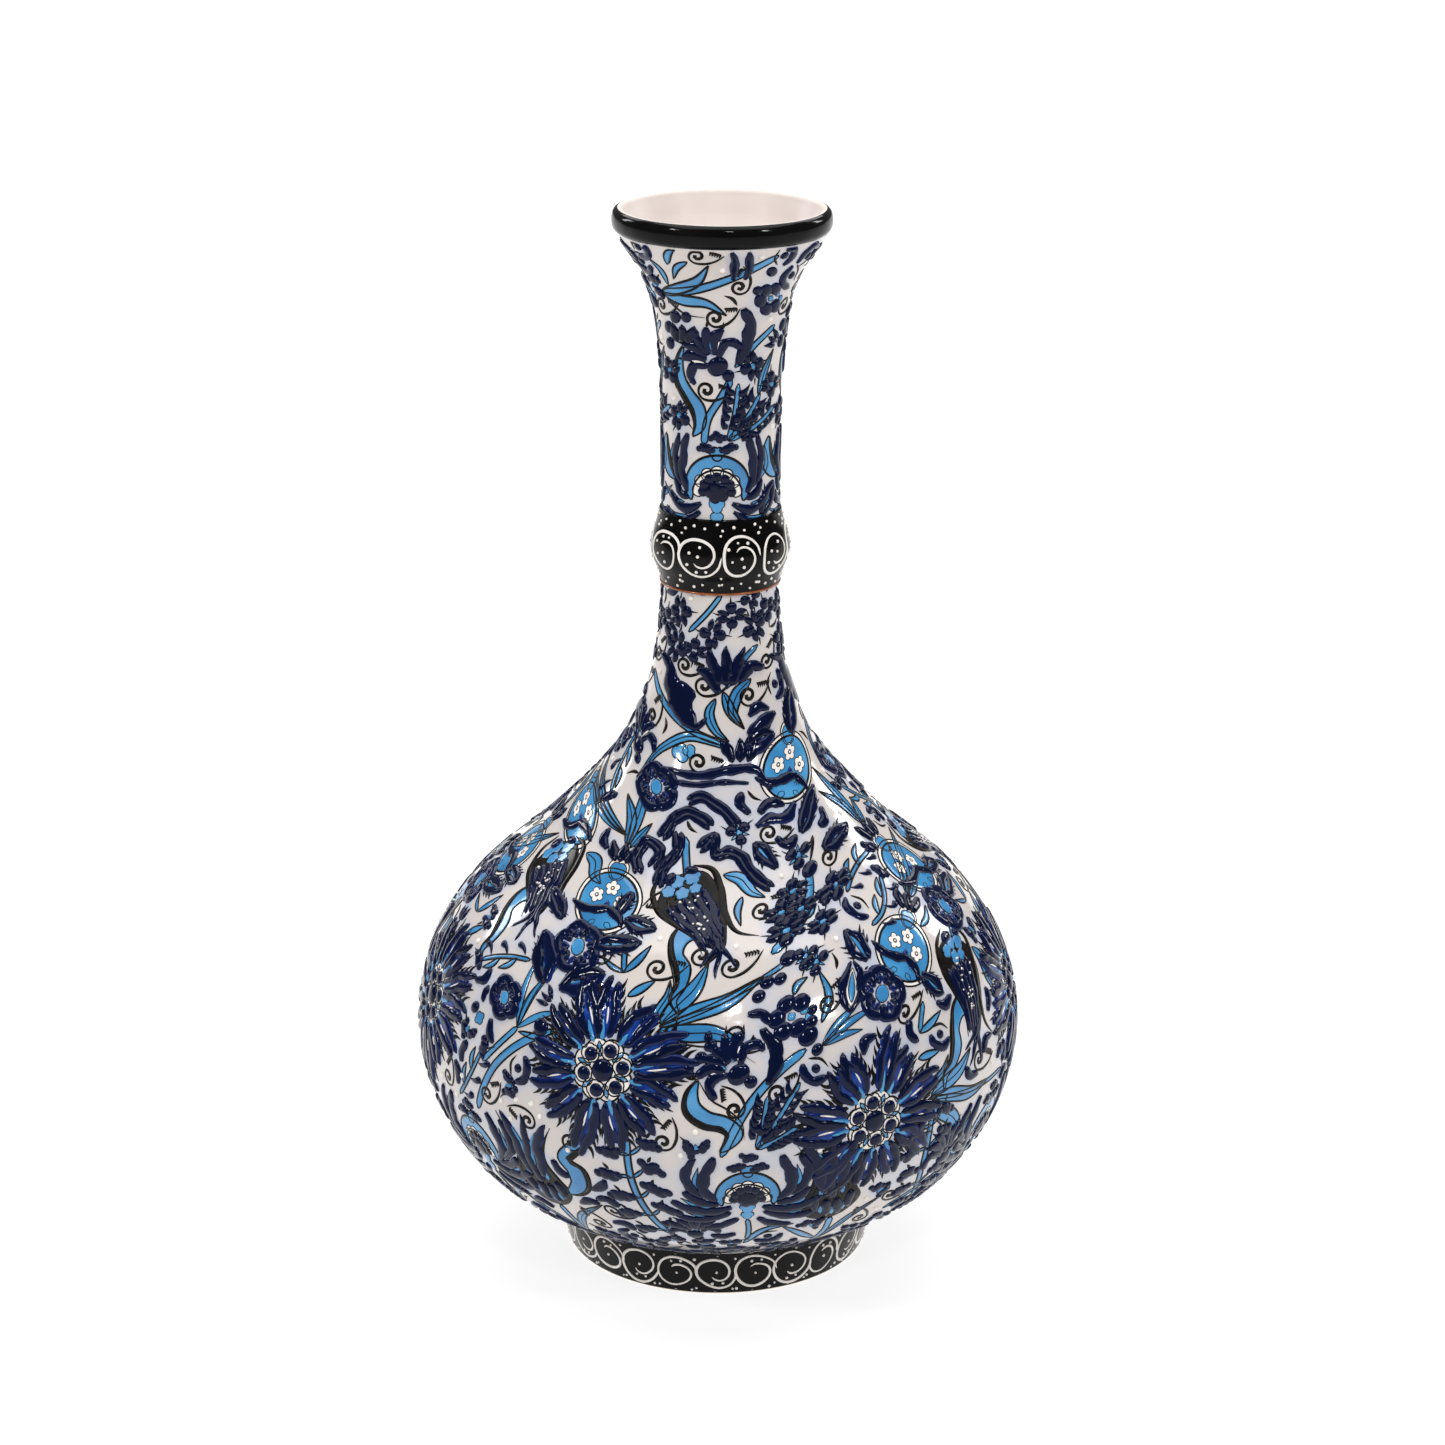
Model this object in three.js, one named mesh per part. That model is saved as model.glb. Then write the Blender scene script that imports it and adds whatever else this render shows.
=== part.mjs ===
// A bottle-shaped pottery vase with a glazed, painted surface: a round belly on a foot ring, a slim neck with
// a bead collar halfway up, and a flared mouth. It is thrown and turned in sections, and the leather-hard
// sections are luted to each other with a thin layer of slip in rebated joints, then glazed and fired.
// Millimetres, +Z up, origin at the centre of the foot's resting plane.
import * as THREE from "three";

// ---- Driving dimensions ----
const SEGMENTS = 48; // facets around the axis
const RING_SPACING = 10; // distance along the wall from one turned ring to the next

const WALL = { belly: 6, neck: 5, mouth: 4 }; // clay thickness, square to the wall
const BELLY_END = 190; // height where the wall has begun to thin towards the neck
const NECK_END = 350; // height where it begins to thin again towards the mouth
const WALL_BLEND = 30; // height over which the thickness changes

const SLIP = 0.8; // thickness of the luting slip
const REBATE = 4; // height of the step in a rebated joint

const SEAM = { foot: 19, equator: 92, shoulder: 216, neck: 276, mouth: 391.6 }; // heights of the luted joints

// Outer wall of belly and neck, from the foot seam to just past the mouth seam: [height, radius].
const WALL_STATIONS = [
  [19.4, 61.7],
  [22, 67.0],
  [28, 77.2],
  [36, 88.4],
  [50, 100.2],
  [70, 110.0],
  [95, 113.4],
  [120, 107.6],
  [145, 91.2],
  [165, 67.8],
  [182, 51.0],
  [200, 36.0],
  [218, 27.9],
  [232, 24.0],
  [246, 22.0],
  [262, 21.0],
  [276, 21.0],
  [290, 21.0],
  [305, 21.2],
  [330, 21.4],
  [350, 22.4],
  [365, 24.2],
  [378, 28.8],
  [388, 35.4],
  [397, 42.0],
];

const FLOOR = { underside: 10, top: 20, flatRadius: 42, bendRadius: 53, bendRise: 2 };
const FOOT = { bore: 51.4, restRadius: 56.4, bevel: 0.9, topRadius: 61.4 };
const COLLAR = { bottom: 262.5, top: 290.5, bore: 21.5 };
const COLLAR_BEAD = [
  // outer face of the bead: [height above the collar's bottom, radius]
  [0, 21.9],
  [4, 22.8],
  [8.5, 24.8],
  [13, 25.9],
  [17.5, 25.2],
  [22.5, 23.4],
  [28, 22.2],
];
const LIP_ROLL = [
  // the rolled rim, from its outer lower edge over the top to the throat: [height above the seam's slip, radius]
  [1.2, 39.2],
  [3.2, 39.6],
  [5.2, 39.5],
  [6.9, 38.9],
  [7.8, 37.8],
  [8, 36.8],
  [7.4, 35.6],
  [5.6, 34.7],
  [3.0, 34.0],
];

const COLOURS = {
  paintedGlaze: { color: 0xdbd4ce, roughness: 0.12, metalness: 0 },
  blackGlaze: { color: 0x1c1b1b, roughness: 0.1, metalness: 0 },
  driedSlip: { color: 0xe9dfd0, roughness: 0.85, metalness: 0 },
};

// ---- The wall: one smooth outer curve, and its offset inwards by the clay's thickness ----
function wallThickness(height) {
  const toNeck = THREE.MathUtils.smoothstep(height, BELLY_END, BELLY_END + WALL_BLEND);
  const toMouth = THREE.MathUtils.smoothstep(height, NECK_END, NECK_END + WALL_BLEND);
  return WALL.belly + (WALL.neck - WALL.belly) * toNeck + (WALL.mouth - WALL.neck) * toMouth;
}

const wallCurve = new THREE.CatmullRomCurve3(
  WALL_STATIONS.map(([height, radius]) => new THREE.Vector3(radius, height, 0)),
  false,
  "centripetal",
);
const ringCount = Math.round(wallCurve.getLength() / RING_SPACING);

const outerWall = [];
const innerWall = [];
for (let i = 0; i <= ringCount; i += 1) {
  const point = wallCurve.getPointAt(i / ringCount);
  const along = wallCurve.getTangentAt(i / ringCount);
  const thickness = wallThickness(point.y);
  outerWall.push([point.x, point.y]);
  innerWall.push([point.x - thickness * along.y, point.y + thickness * along.x]);
}

// Radius of a wall line of [radius, height] points at a height.
function radiusAt(line, height) {
  const above = line.findIndex((point) => point[1] >= height);
  const [lowRadius, low] = line[above - 1] ?? line[above];
  const [highRadius, high] = line[above];
  return high === low ? highRadius : lowRadius + ((highRadius - lowRadius) * (height - low)) / (high - low);
}

// The part of a wall line between two heights, with a point exactly at each end.
function stretch(line, bottom, top) {
  const shortestStep = 1;
  const within = line.filter((point) => point[1] > bottom + shortestStep && point[1] < top - shortestStep);
  return [[radiusAt(line, bottom), bottom], ...within, [radiusAt(line, top), top]];
}

// ---- Joints: each gives the end of the section below, the start of the section above, and the slip ----
function rebatedJoint(seam) {
  const [faceBelow, faceAbove] = [seam - SLIP / 2, seam + SLIP / 2];
  const [spigotTop, socketTop] = [faceBelow + REBATE, faceAbove + REBATE];
  const spigotRadius = (radiusAt(outerWall, seam) + radiusAt(innerWall, seam + REBATE)) / 2 - SLIP / 2;
  const socketRadius = spigotRadius + SLIP;
  return {
    outerBelow: faceBelow,
    outerAbove: faceAbove,
    innerBelow: spigotTop,
    innerAbove: socketTop,
    belowEnd: [
      [spigotRadius, faceBelow],
      [spigotRadius, spigotTop],
    ],
    aboveStart: [
      [socketRadius, socketTop],
      [socketRadius, faceAbove],
    ],
    slip: [
      [radiusAt(outerWall, faceBelow), faceBelow],
      [radiusAt(outerWall, faceAbove), faceAbove],
      [socketRadius, faceAbove],
      [socketRadius, socketTop],
      [radiusAt(innerWall, socketTop), socketTop],
      [radiusAt(innerWall, spigotTop), spigotTop],
      [spigotRadius, spigotTop],
      [spigotRadius, faceBelow],
    ],
  };
}

const equator = rebatedJoint(SEAM.equator);
const shoulder = rebatedJoint(SEAM.shoulder);
const neck = rebatedJoint(SEAM.neck);

const footFace = SEAM.foot - SLIP / 2;
const bowlFace = SEAM.foot + SLIP / 2;
const bowlFaceRadius = radiusAt(outerWall, WALL_STATIONS[0][0]);
const floorSpigot = FOOT.bore - SLIP;
const neckTop = SEAM.mouth - SLIP / 2;
const lipBottom = SEAM.mouth + SLIP / 2;

// ---- Sections, each a closed outline of [radius, height], outer side going up ----
function wallSection(below, above) {
  return [
    ...below.aboveStart,
    ...stretch(outerWall, below.outerAbove, above.outerBelow),
    ...above.belowEnd,
    ...stretch(innerWall, below.innerAbove, above.innerBelow).reverse(),
  ];
}

const footRing = [
  [FOOT.bore, 0],
  [FOOT.restRadius, 0],
  [FOOT.restRadius + FOOT.bevel, FOOT.bevel],
  [FOOT.topRadius, footFace],
  [FOOT.bore, footFace],
];

const footSlip = [
  [FOOT.topRadius, footFace],
  [bowlFaceRadius, bowlFace],
  [floorSpigot, bowlFace],
  [floorSpigot, FLOOR.underside],
  [FOOT.bore, FLOOR.underside],
  [FOOT.bore, footFace],
];

const lowerBowl = [
  [0, FLOOR.underside],
  [floorSpigot, FLOOR.underside],
  [floorSpigot, bowlFace],
  ...stretch(outerWall, bowlFace, equator.outerBelow),
  ...equator.belowEnd,
  ...stretch(innerWall, innerWall[0][1], equator.innerBelow).reverse(),
  [FLOOR.bendRadius, FLOOR.top + FLOOR.bendRise],
  [FLOOR.flatRadius, FLOOR.top],
  [0, FLOOR.top],
];

const upperNeck = [
  ...neck.aboveStart,
  ...stretch(outerWall, neck.outerAbove, neckTop),
  ...stretch(innerWall, neck.innerAbove, neckTop).reverse(),
];

const lipSlip = [
  [radiusAt(outerWall, neckTop), neckTop],
  [radiusAt(outerWall, lipBottom), lipBottom],
  [radiusAt(innerWall, lipBottom), lipBottom],
  [radiusAt(innerWall, neckTop), neckTop],
];

const mouthLip = [
  [radiusAt(innerWall, lipBottom), lipBottom],
  [radiusAt(outerWall, lipBottom), lipBottom],
  ...LIP_ROLL.map(([rise, radius]) => [radius, lipBottom + rise]),
];

const collar = [
  [COLLAR.bore, COLLAR.bottom],
  ...COLLAR_BEAD.map(([rise, radius]) => [radius, COLLAR.bottom + rise]),
  [COLLAR.bore, COLLAR.top],
];

const neckUnderCollar = stretch(outerWall, COLLAR.bottom, COLLAR.top);
const collarSlip = [
  [COLLAR.bore, COLLAR.bottom],
  [COLLAR.bore, COLLAR.top],
  ...neckUnderCollar.reverse(),
];

// ---- Assembly ----
const vase = new THREE.Group();

function addTurned(name, outline, surface) {
  const points = outline.map(([radius, height]) => new THREE.Vector2(radius, height));
  if (outline[0][0] > 0) points.push(points[0].clone());
  const geometry = new THREE.LatheGeometry(points, SEGMENTS).rotateX(Math.PI / 2);
  const mesh = new THREE.Mesh(geometry, new THREE.MeshStandardMaterial(surface));
  mesh.name = name;
  vase.add(mesh);
}

addTurned("foot_ring", footRing, COLOURS.blackGlaze);
addTurned("lower_bowl", lowerBowl, COLOURS.paintedGlaze);
addTurned("upper_bowl", wallSection(equator, shoulder), COLOURS.paintedGlaze);
addTurned("lower_neck", wallSection(shoulder, neck), COLOURS.paintedGlaze);
addTurned("neck_collar", collar, COLOURS.blackGlaze);
addTurned("upper_neck", upperNeck, COLOURS.paintedGlaze);
addTurned("mouth_lip", mouthLip, COLOURS.blackGlaze);

addTurned("slip_joint_foot", footSlip, COLOURS.driedSlip);
addTurned("slip_joint_equator", equator.slip, COLOURS.driedSlip);
addTurned("slip_joint_shoulder", shoulder.slip, COLOURS.driedSlip);
addTurned("slip_joint_neck", neck.slip, COLOURS.driedSlip);
addTurned("slip_joint_collar", collarSlip, COLOURS.driedSlip);
addTurned("slip_joint_lip", lipSlip, COLOURS.driedSlip);

export default vase;
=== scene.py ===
# Looks of a glazed bottle vase: seven turned sections, and the raised painting on them as trailed enamel,
# flat painted shapes, brush lines and slip dots, all laid on the turned surface in millimetres.
import math

import bmesh
import bpy
import numpy as np
from mathutils import Matrix, Vector
from mathutils.bvhtree import BVHTree


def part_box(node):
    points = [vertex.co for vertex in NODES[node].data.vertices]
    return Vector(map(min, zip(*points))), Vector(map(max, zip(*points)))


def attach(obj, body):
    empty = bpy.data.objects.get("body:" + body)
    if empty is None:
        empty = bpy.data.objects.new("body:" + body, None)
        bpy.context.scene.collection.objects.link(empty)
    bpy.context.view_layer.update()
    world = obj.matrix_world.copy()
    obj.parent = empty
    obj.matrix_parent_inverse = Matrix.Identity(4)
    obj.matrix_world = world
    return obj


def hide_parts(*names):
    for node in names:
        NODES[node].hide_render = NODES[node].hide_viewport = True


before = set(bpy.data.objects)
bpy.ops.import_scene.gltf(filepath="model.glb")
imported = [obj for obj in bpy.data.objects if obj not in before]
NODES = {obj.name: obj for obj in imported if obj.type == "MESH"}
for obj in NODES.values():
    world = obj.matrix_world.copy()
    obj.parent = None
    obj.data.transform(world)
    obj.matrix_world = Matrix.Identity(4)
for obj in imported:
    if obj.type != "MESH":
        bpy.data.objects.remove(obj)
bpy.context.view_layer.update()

MM = 0.001
rng = np.random.default_rng(41)

# ------------------------------------------------------------------ turned surfaces, read from the CAD nodes
SLIP_HALF = 0.4  # half the height of a luted joint's slip
FAR_OUTSIDE = 0.3  # metres from the axis, where the rays that read an outer wall start
NEAR_AXIS = 1e-6
END_GAP = 0.45  # how far the readings keep from a wall's ends


def bvh_of(names):
    """One tree of several CAD nodes, for ray casts."""
    verts, faces = [], []
    for name in names:
        mesh = NODES[name].data
        base = len(verts)
        verts += [v.co.copy() for v in mesh.vertices]
        faces += [tuple(base + i for i in p.vertices) for p in mesh.polygons]
    return BVHTree.FromPolygons(verts, faces)


def cast(tree, heights, outside):
    """The wall's radius at each height, met from outside or from the axis."""
    radii = []
    for z in heights:
        start = Vector((NEAR_AXIS, -FAR_OUTSIDE if outside else -NEAR_AXIS, z * MM))
        hit = tree.ray_cast(start, Vector((0, 1 if outside else -1, 0)))[0]
        radii.append(-hit.y / MM if hit else np.nan)
    radii = np.array(radii)
    good = ~np.isnan(radii)
    return np.interp(heights, np.array(heights)[good], radii[good])


def smooth_line(r, z, sigma, step=1.0):
    """A line resampled evenly and smoothed by a Gaussian, with its ends kept in place."""
    arc = np.concatenate([[0], np.cumsum(np.hypot(np.diff(r), np.diff(z)))])
    n = max(8, int(round(arc[-1] / step)))
    q = np.linspace(0, arc[-1], n + 1)
    out = []
    pad = int(4 * sigma / step) + 1
    kernel = np.exp(-0.5 * (np.arange(-pad, pad + 1) * step / sigma) ** 2)
    kernel /= kernel.sum()
    for values in (r, z):
        v = np.interp(q, arc, values)
        head = 2 * v[0] - v[pad:0:-1] if len(v) > pad else np.full(pad, v[0])
        tail = 2 * v[-1] - v[-2 : -pad - 2 : -1] if len(v) > pad + 1 else np.full(pad, v[-1])
        out.append(np.convolve(np.concatenate([head, v, tail]), kernel, mode="valid"))
    return out[0], out[1]


class Turned:
    """A surface of revolution. Angle 0 faces the camera (-Y) and grows to the right, +X; s is arc length."""

    def __init__(self, r, z):
        self.r, self.z = np.asarray(r, float), np.asarray(z, float)
        self.s = np.concatenate([[0], np.cumsum(np.hypot(np.diff(self.r), np.diff(self.z)))])
        tr, tz = np.gradient(self.r, self.s), np.gradient(self.z, self.s)
        size = np.hypot(tr, tz)
        self.nr, self.nz = tz / size, -tr / size
        self.length = self.s[-1]

    def radius(self, s):
        return np.interp(s, self.s, self.r)

    def height(self, s):
        return np.interp(s, self.s, self.z)

    def place(self, angle, s, h):
        r = np.interp(s, self.s, self.r) + h * np.interp(s, self.s, self.nr)
        z = np.interp(s, self.s, self.z) + h * np.interp(s, self.s, self.nz)
        return np.stack([r * np.sin(angle), -r * np.cos(angle), z], -1) * MM


seam = {k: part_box("slip_joint_" + k)[0].z / MM + SLIP_HALF for k in ("equator", "shoulder", "neck", "lip")}
seam["foot"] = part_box("foot_ring")[1].z / MM + SLIP_HALF
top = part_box("mouth_lip")[1].z / MM

wall_tree = bvh_of(
    ["lower_bowl", "upper_bowl", "lower_neck", "upper_neck", "slip_joint_equator", "slip_joint_shoulder",
     "slip_joint_neck"]
)
zs = np.arange(seam["foot"] + END_GAP, seam["lip"] - SLIP_HALF, 1.0)
zs = np.append(zs, seam["lip"] - END_GAP)
WALL = Turned(*smooth_line(cast(wall_tree, zs, True), zs, 4.0))
floor_top = 20.3  # just above the belly's floor
inner_zs = np.arange(floor_top, seam["lip"] - SLIP_HALF, 1.0)
INNER = Turned(*smooth_line(cast(wall_tree, inner_zs, False), inner_zs, 4.0))

foot_zs = np.arange(0.9, seam["foot"] - SLIP_HALF, 0.5)  # from the top of its bevel
FOOT = Turned(*smooth_line(cast(bvh_of(["foot_ring"]), foot_zs, True), foot_zs, 1.0, 0.5))
collar_low, collar_high = (v.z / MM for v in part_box("neck_collar"))
collar_zs = np.arange(collar_low + 0.05, collar_high - 0.04, 0.5)
COLLAR = Turned(*smooth_line(cast(bvh_of(["neck_collar"]), collar_zs, True), collar_zs, 1.5, 0.5))


# ------------------------------------------------------------------ materials
def srgb(r, g, b):
    return tuple(((c / 255 + 0.055) / 1.055) ** 2.4 if c > 10.3 else c / 255 / 12.92
                 for c in (r, g, b)) + (1.0,)


class Nodes:
    def __init__(self, name):
        self.mat = bpy.data.materials.new(name)
        self.mat.use_nodes = True
        self.tree = self.mat.node_tree
        self.shader = self.tree.nodes["Principled BSDF"]

    def add(self, kind, **settings):
        node = self.tree.nodes.new(kind)
        for key, value in settings.items():
            if isinstance(getattr(node, key, None), (str, bool, int, float)) and hasattr(node, key):
                setattr(node, key, value)
            else:
                node.inputs[key.replace("_", " ")].default_value = value
        return node

    def link(self, a, b):
        self.tree.links.new(a, b)

    def noise(self, scale, detail=2.0):
        coord = self.add("ShaderNodeTexCoord")
        noise = self.add("ShaderNodeTexNoise")
        noise.inputs["Scale"].default_value = scale
        noise.inputs["Detail"].default_value = detail
        self.link(coord.outputs["Object"], noise.inputs["Vector"])
        return noise.outputs["Fac"]

    def ramp(self, fac, stops):
        ramp = self.add("ShaderNodeValToRGB")
        ramp.color_ramp.elements[0].position, ramp.color_ramp.elements[0].color = stops[0]
        ramp.color_ramp.elements[1].position, ramp.color_ramp.elements[1].color = stops[-1]
        for position, colour in stops[1:-1]:
            ramp.color_ramp.elements.new(position).color = colour
        self.link(fac, ramp.inputs["Fac"])
        return ramp.outputs["Color"]

    def attribute(self, name):
        node = self.add("ShaderNodeAttribute")
        node.attribute_name = name
        return node.outputs["Fac"]

    def maths(self, operation, a, b):
        node = self.add("ShaderNodeMath")
        node.operation = operation
        for socket, value in zip(node.inputs, (a, b)):
            if isinstance(value, (int, float)):
                socket.default_value = value
            else:
                self.link(value, socket)
        return node.outputs[0]

    def mix(self, fac, a, b):
        node = self.add("ShaderNodeMix")
        node.data_type = "RGBA"
        for socket, value in zip((node.inputs[0], node.inputs[6], node.inputs[7]), (fac, a, b)):
            if isinstance(value, (tuple, float)):
                socket.default_value = value
            else:
                self.link(value, socket)
        return node.outputs[2]

    def varied(self, scale, spread, base):
        """A value that wanders by spread above base."""
        return self.maths("ADD", self.maths("MULTIPLY", self.noise(scale), spread), base)

    def finish(self, colour, roughness, bump=None, distance=0.0001, specular=0.5):
        for socket, value, plain in (("Base Color", colour, tuple), ("Roughness", roughness, float)):
            if isinstance(value, plain):
                self.shader.inputs[socket].default_value = value
            else:
                self.link(value, self.shader.inputs[socket])
        self.shader.inputs["Specular IOR Level"].default_value = specular
        if bump is not None:
            node = self.add("ShaderNodeBump")
            node.inputs["Strength"].default_value = 1.0
            node.inputs["Distance"].default_value = distance
            self.link(bump, node.inputs["Height"])
            self.link(node.outputs["Normal"], self.shader.inputs["Normal"])
        return self.mat


def glaze_white(name, warm, cool, halo=True, rough=0.07, specular=0.5):
    """Pale glaze; with a halo, cobalt bleeds a little into it round the enamel."""
    n = Nodes(name)
    body = n.ramp(n.noise(14.0, 3.0), [(0.3, cool), (0.7, warm)])
    if halo:
        near = n.maths("MULTIPLY", n.attribute("halo"), n.varied(90.0, 0.8, 0.02))
        body = n.mix(near, body, srgb(158, 180, 216))
    return n.finish(body, n.varied(60.0, 0.06, rough), n.noise(130.0, 1.0), 0.00018, specular)


def mottled(name, grain, stops, rough, bump=None, distance=0.0001, specular=0.5):
    """A colour ramp over noise. grain and bump are (scale, detail), rough is (scale, spread, base)."""
    n = Nodes(name)
    body = n.ramp(n.noise(*grain), [(position, srgb(*colour)) for position, colour in stops])
    rough = n.varied(*rough)
    return n.finish(body, rough, n.noise(*bump) if bump else None, distance, specular)


def cobalt_enamel():
    """Dark enamel, lighter where its tone says that it is thin."""
    n = Nodes("cobalt_enamel")
    thin = n.maths("MULTIPLY", n.attribute("tone"), n.maths("ADD", n.noise(260.0, 2.0), 0.45))
    body = n.ramp(thin, [(0.0, srgb(4, 11, 34)), (0.3, srgb(7, 18, 56)), (0.6, srgb(16, 46, 122)),
                         (1.0, srgb(34, 84, 172))])
    return n.finish(body, n.varied(200.0, 0.06, 0.04), n.noise(420.0, 1.0), 0.00012, 0.2)


MATERIALS = {
    "ground": glaze_white("white_glaze", srgb(208, 199, 193), srgb(200, 194, 191)),
    "inside": glaze_white("white_glaze_inside", srgb(218, 208, 203), srgb(211, 200, 195), False, 0.35, 0.2),
    "black": mottled("black_glaze", (40.0, 3.0), [(0.35, (7, 7, 7)), (0.7, (16, 15, 16))], (70.0, 0.08, 0.06),
                     (150.0, 1.0), 0.00015, 0.12),
    "cobalt": cobalt_enamel(),
    "blue": mottled("light_blue_glaze", (75.0, 4.0),
                    [(0.3, (48, 116, 168)), (0.55, (60, 136, 188)), (0.8, (84, 158, 204))],
                    (90.0, 0.08, 0.08), (160.0, 2.0)),
    "ink": mottled("black_line", (300.0, 2.0), [(0.35, (10, 9, 9)), (0.75, (30, 26, 23))], (120.0, 0.1, 0.1),
                   specular=0.12),
    "slip": mottled("white_slip", (220.0, 2.0), [(0.3, (222, 215, 208)), (0.7, (242, 236, 230))],
                    (180.0, 0.1, 0.16)),
    "rust": mottled("rust_line", (160.0, 3.0), [(0.3, (120, 58, 26)), (0.7, (168, 92, 44))],
                    (120.0, 0.1, 0.12)),
    "clay": mottled("bare_clay", (240.0, 4.0), [(0.3, (214, 198, 176)), (0.7, (234, 222, 204))],
                    (150.0, 0.15, 0.72), (900.0, 3.0), 0.00008),
}


# ------------------------------------------------------------------ mesh building
class Piece:
    """Collects vertices and faces of one Blender object."""

    def __init__(self):
        self.verts, self.tone, self.quads, self.tris, self.quad_uv, self.tri_uv = [], [], [], [], [], []
        self.count = 0

    def add(self, verts, tone, uv, quads=None, tris=None, quad_point=None, tri_point=None):
        """quad_point and tri_point mark hidden faces. Their UVs shrink to a point, to take no texels."""
        self.verts.append(verts)
        self.tone.append(np.broadcast_to(tone, (len(verts),)))
        centre = uv.mean(0)
        for faces, hidden, store, uv_store in (
            (quads, quad_point, self.quads, self.quad_uv),
            (tris, tri_point, self.tris, self.tri_uv),
        ):
            if faces is None or len(faces) == 0:
                continue
            corner_uv = uv[faces]
            if hidden is not None:
                corner_uv[hidden] = centre
            store.append(faces + self.count)
            uv_store.append(corner_uv)
        self.count += len(verts)

    def build(self, name, materials, face_material=None, attribute="tone", sharp=None):
        verts = np.concatenate(self.verts)
        tone = np.concatenate(self.tone)
        quads = np.concatenate(self.quads) if self.quads else np.zeros((0, 4), int)
        tris = np.concatenate(self.tris) if self.tris else np.zeros((0, 3), int)
        uvs = [np.concatenate(a).reshape(-1, 2) for a in (self.quad_uv, self.tri_uv) if a]
        mesh = bpy.data.meshes.new(name)
        mesh.vertices.add(len(verts))
        mesh.vertices.foreach_set("co", verts.astype(np.float32).ravel())
        loops = np.concatenate([quads.ravel(), tris.ravel()])
        mesh.loops.add(len(loops))
        mesh.loops.foreach_set("vertex_index", loops.astype(np.int32))
        starts = np.concatenate([np.arange(len(quads)) * 4, len(quads) * 4 + np.arange(len(tris)) * 3])
        mesh.polygons.add(len(starts))
        mesh.polygons.foreach_set("loop_start", starts.astype(np.int32))
        mesh.update(calc_edges=True)
        layer = mesh.uv_layers.new(name="OFBake")
        layer.data.foreach_set("uv", np.concatenate(uvs).astype(np.float32).ravel())
        data = mesh.attributes.new(attribute, "FLOAT", "POINT")
        data.data.foreach_set("value", tone.astype(np.float32))
        for material in materials:
            mesh.materials.append(material)
        if face_material is not None:
            mesh.polygons.foreach_set("material_index", face_material(mesh).astype(np.int32))
        mesh.shade_smooth()
        if sharp is not None:
            mesh.set_sharp_from_angle(angle=math.radians(sharp))
        mesh.validate()
        obj = bpy.data.objects.new(name, mesh)
        bpy.context.scene.collection.objects.link(obj)
        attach(obj, "root")
        return obj


def surface_uv(surface, angle, s):
    return np.stack([np.asarray(angle) / (2 * math.pi) * 0.9 + 0.5,
                     np.asarray(s) / surface.length * 0.98 + 0.01], -1)


# ------------------------------------------------------------------ the drawing pen
# Sections run across a stroke: (place across, share of the height). A buried edge is added below each.
BURIED = -0.3
ENAMEL_SPREAD = 1.14  # how far trailed enamel flows out beyond its stroke
DOME = np.array([(-1, 0.0), (-0.93, 0.38), (-0.68, 0.74), (-0.3, 0.96), (0.3, 0.96), (0.68, 0.74),
                 (0.93, 0.38), (1, 0.0)])
BEAD = np.array([(-1, 0.0), (-0.8, 0.7), (0.0, 1.0), (0.8, 0.7), (1, 0.0)])
LINE = np.array([(-1, 0.0), (-0.7, 1.0), (0.7, 1.0), (1, 0.0)])
LAYERS = {
    # name: (section, height)
    "blue": ("slab", 0.10),
    "white": ("slab", 0.14),
    "ink": ("line", 0.20),
    "shade": ("slab", 0.17),
    "cobalt": ("dome", 0.95),
    "slip": ("bead", 0.55),
}


def spline(points, length, step):
    t = np.concatenate([[0], np.cumsum(np.maximum(length, 1e-6))])
    n = max(2, int(math.ceil(t[-1] / step)))
    q = np.linspace(0, t[-1], n + 1)
    slope = np.gradient(points, t, axis=0)
    k = np.clip(np.searchsorted(t, q, "right") - 1, 0, len(t) - 2)
    h = (t[k + 1] - t[k])[:, None]
    u = (q - t[k])[:, None] / h
    a, b, ma, mb = points[k], points[k + 1], slope[k] * h, slope[k + 1] * h
    ends = a * (1 + 2 * u) * (1 - u) ** 2 + b * u * u * (3 - 2 * u)
    return ends + ma * u * (1 - u) ** 2 + mb * u * u * (u - 1), q / t[-1]


def width_shape(shape, t, length, width):
    end = max(0.06, min(0.5, 0.7 * width / max(length, 1e-6)))
    if shape == "line":
        return np.sqrt(np.clip(np.minimum(t, 1 - t) / end, 0.04, 1))
    if shape == "leaf":
        return np.maximum(np.sin(math.pi * np.clip(t, 0, 1) ** 0.8) ** 0.8, 0.05)
    if shape == "fat":
        return np.maximum(np.sin(math.pi * np.clip(0.04 + 0.92 * t, 0, 1)) ** 0.42, 0.05)
    if shape == "drop":
        return np.maximum(np.sqrt(np.clip(t / 0.16, 0.03, 1)) * (1 - t) ** 0.75, 0.06)
    if shape == "tail":
        return np.maximum(np.sqrt(np.clip((1 - t) / 0.16, 0.03, 1)) * t ** 0.75, 0.06)
    return np.sqrt(np.clip(np.minimum(t, 1 - t) / 0.04, 0.05, 1))


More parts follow.
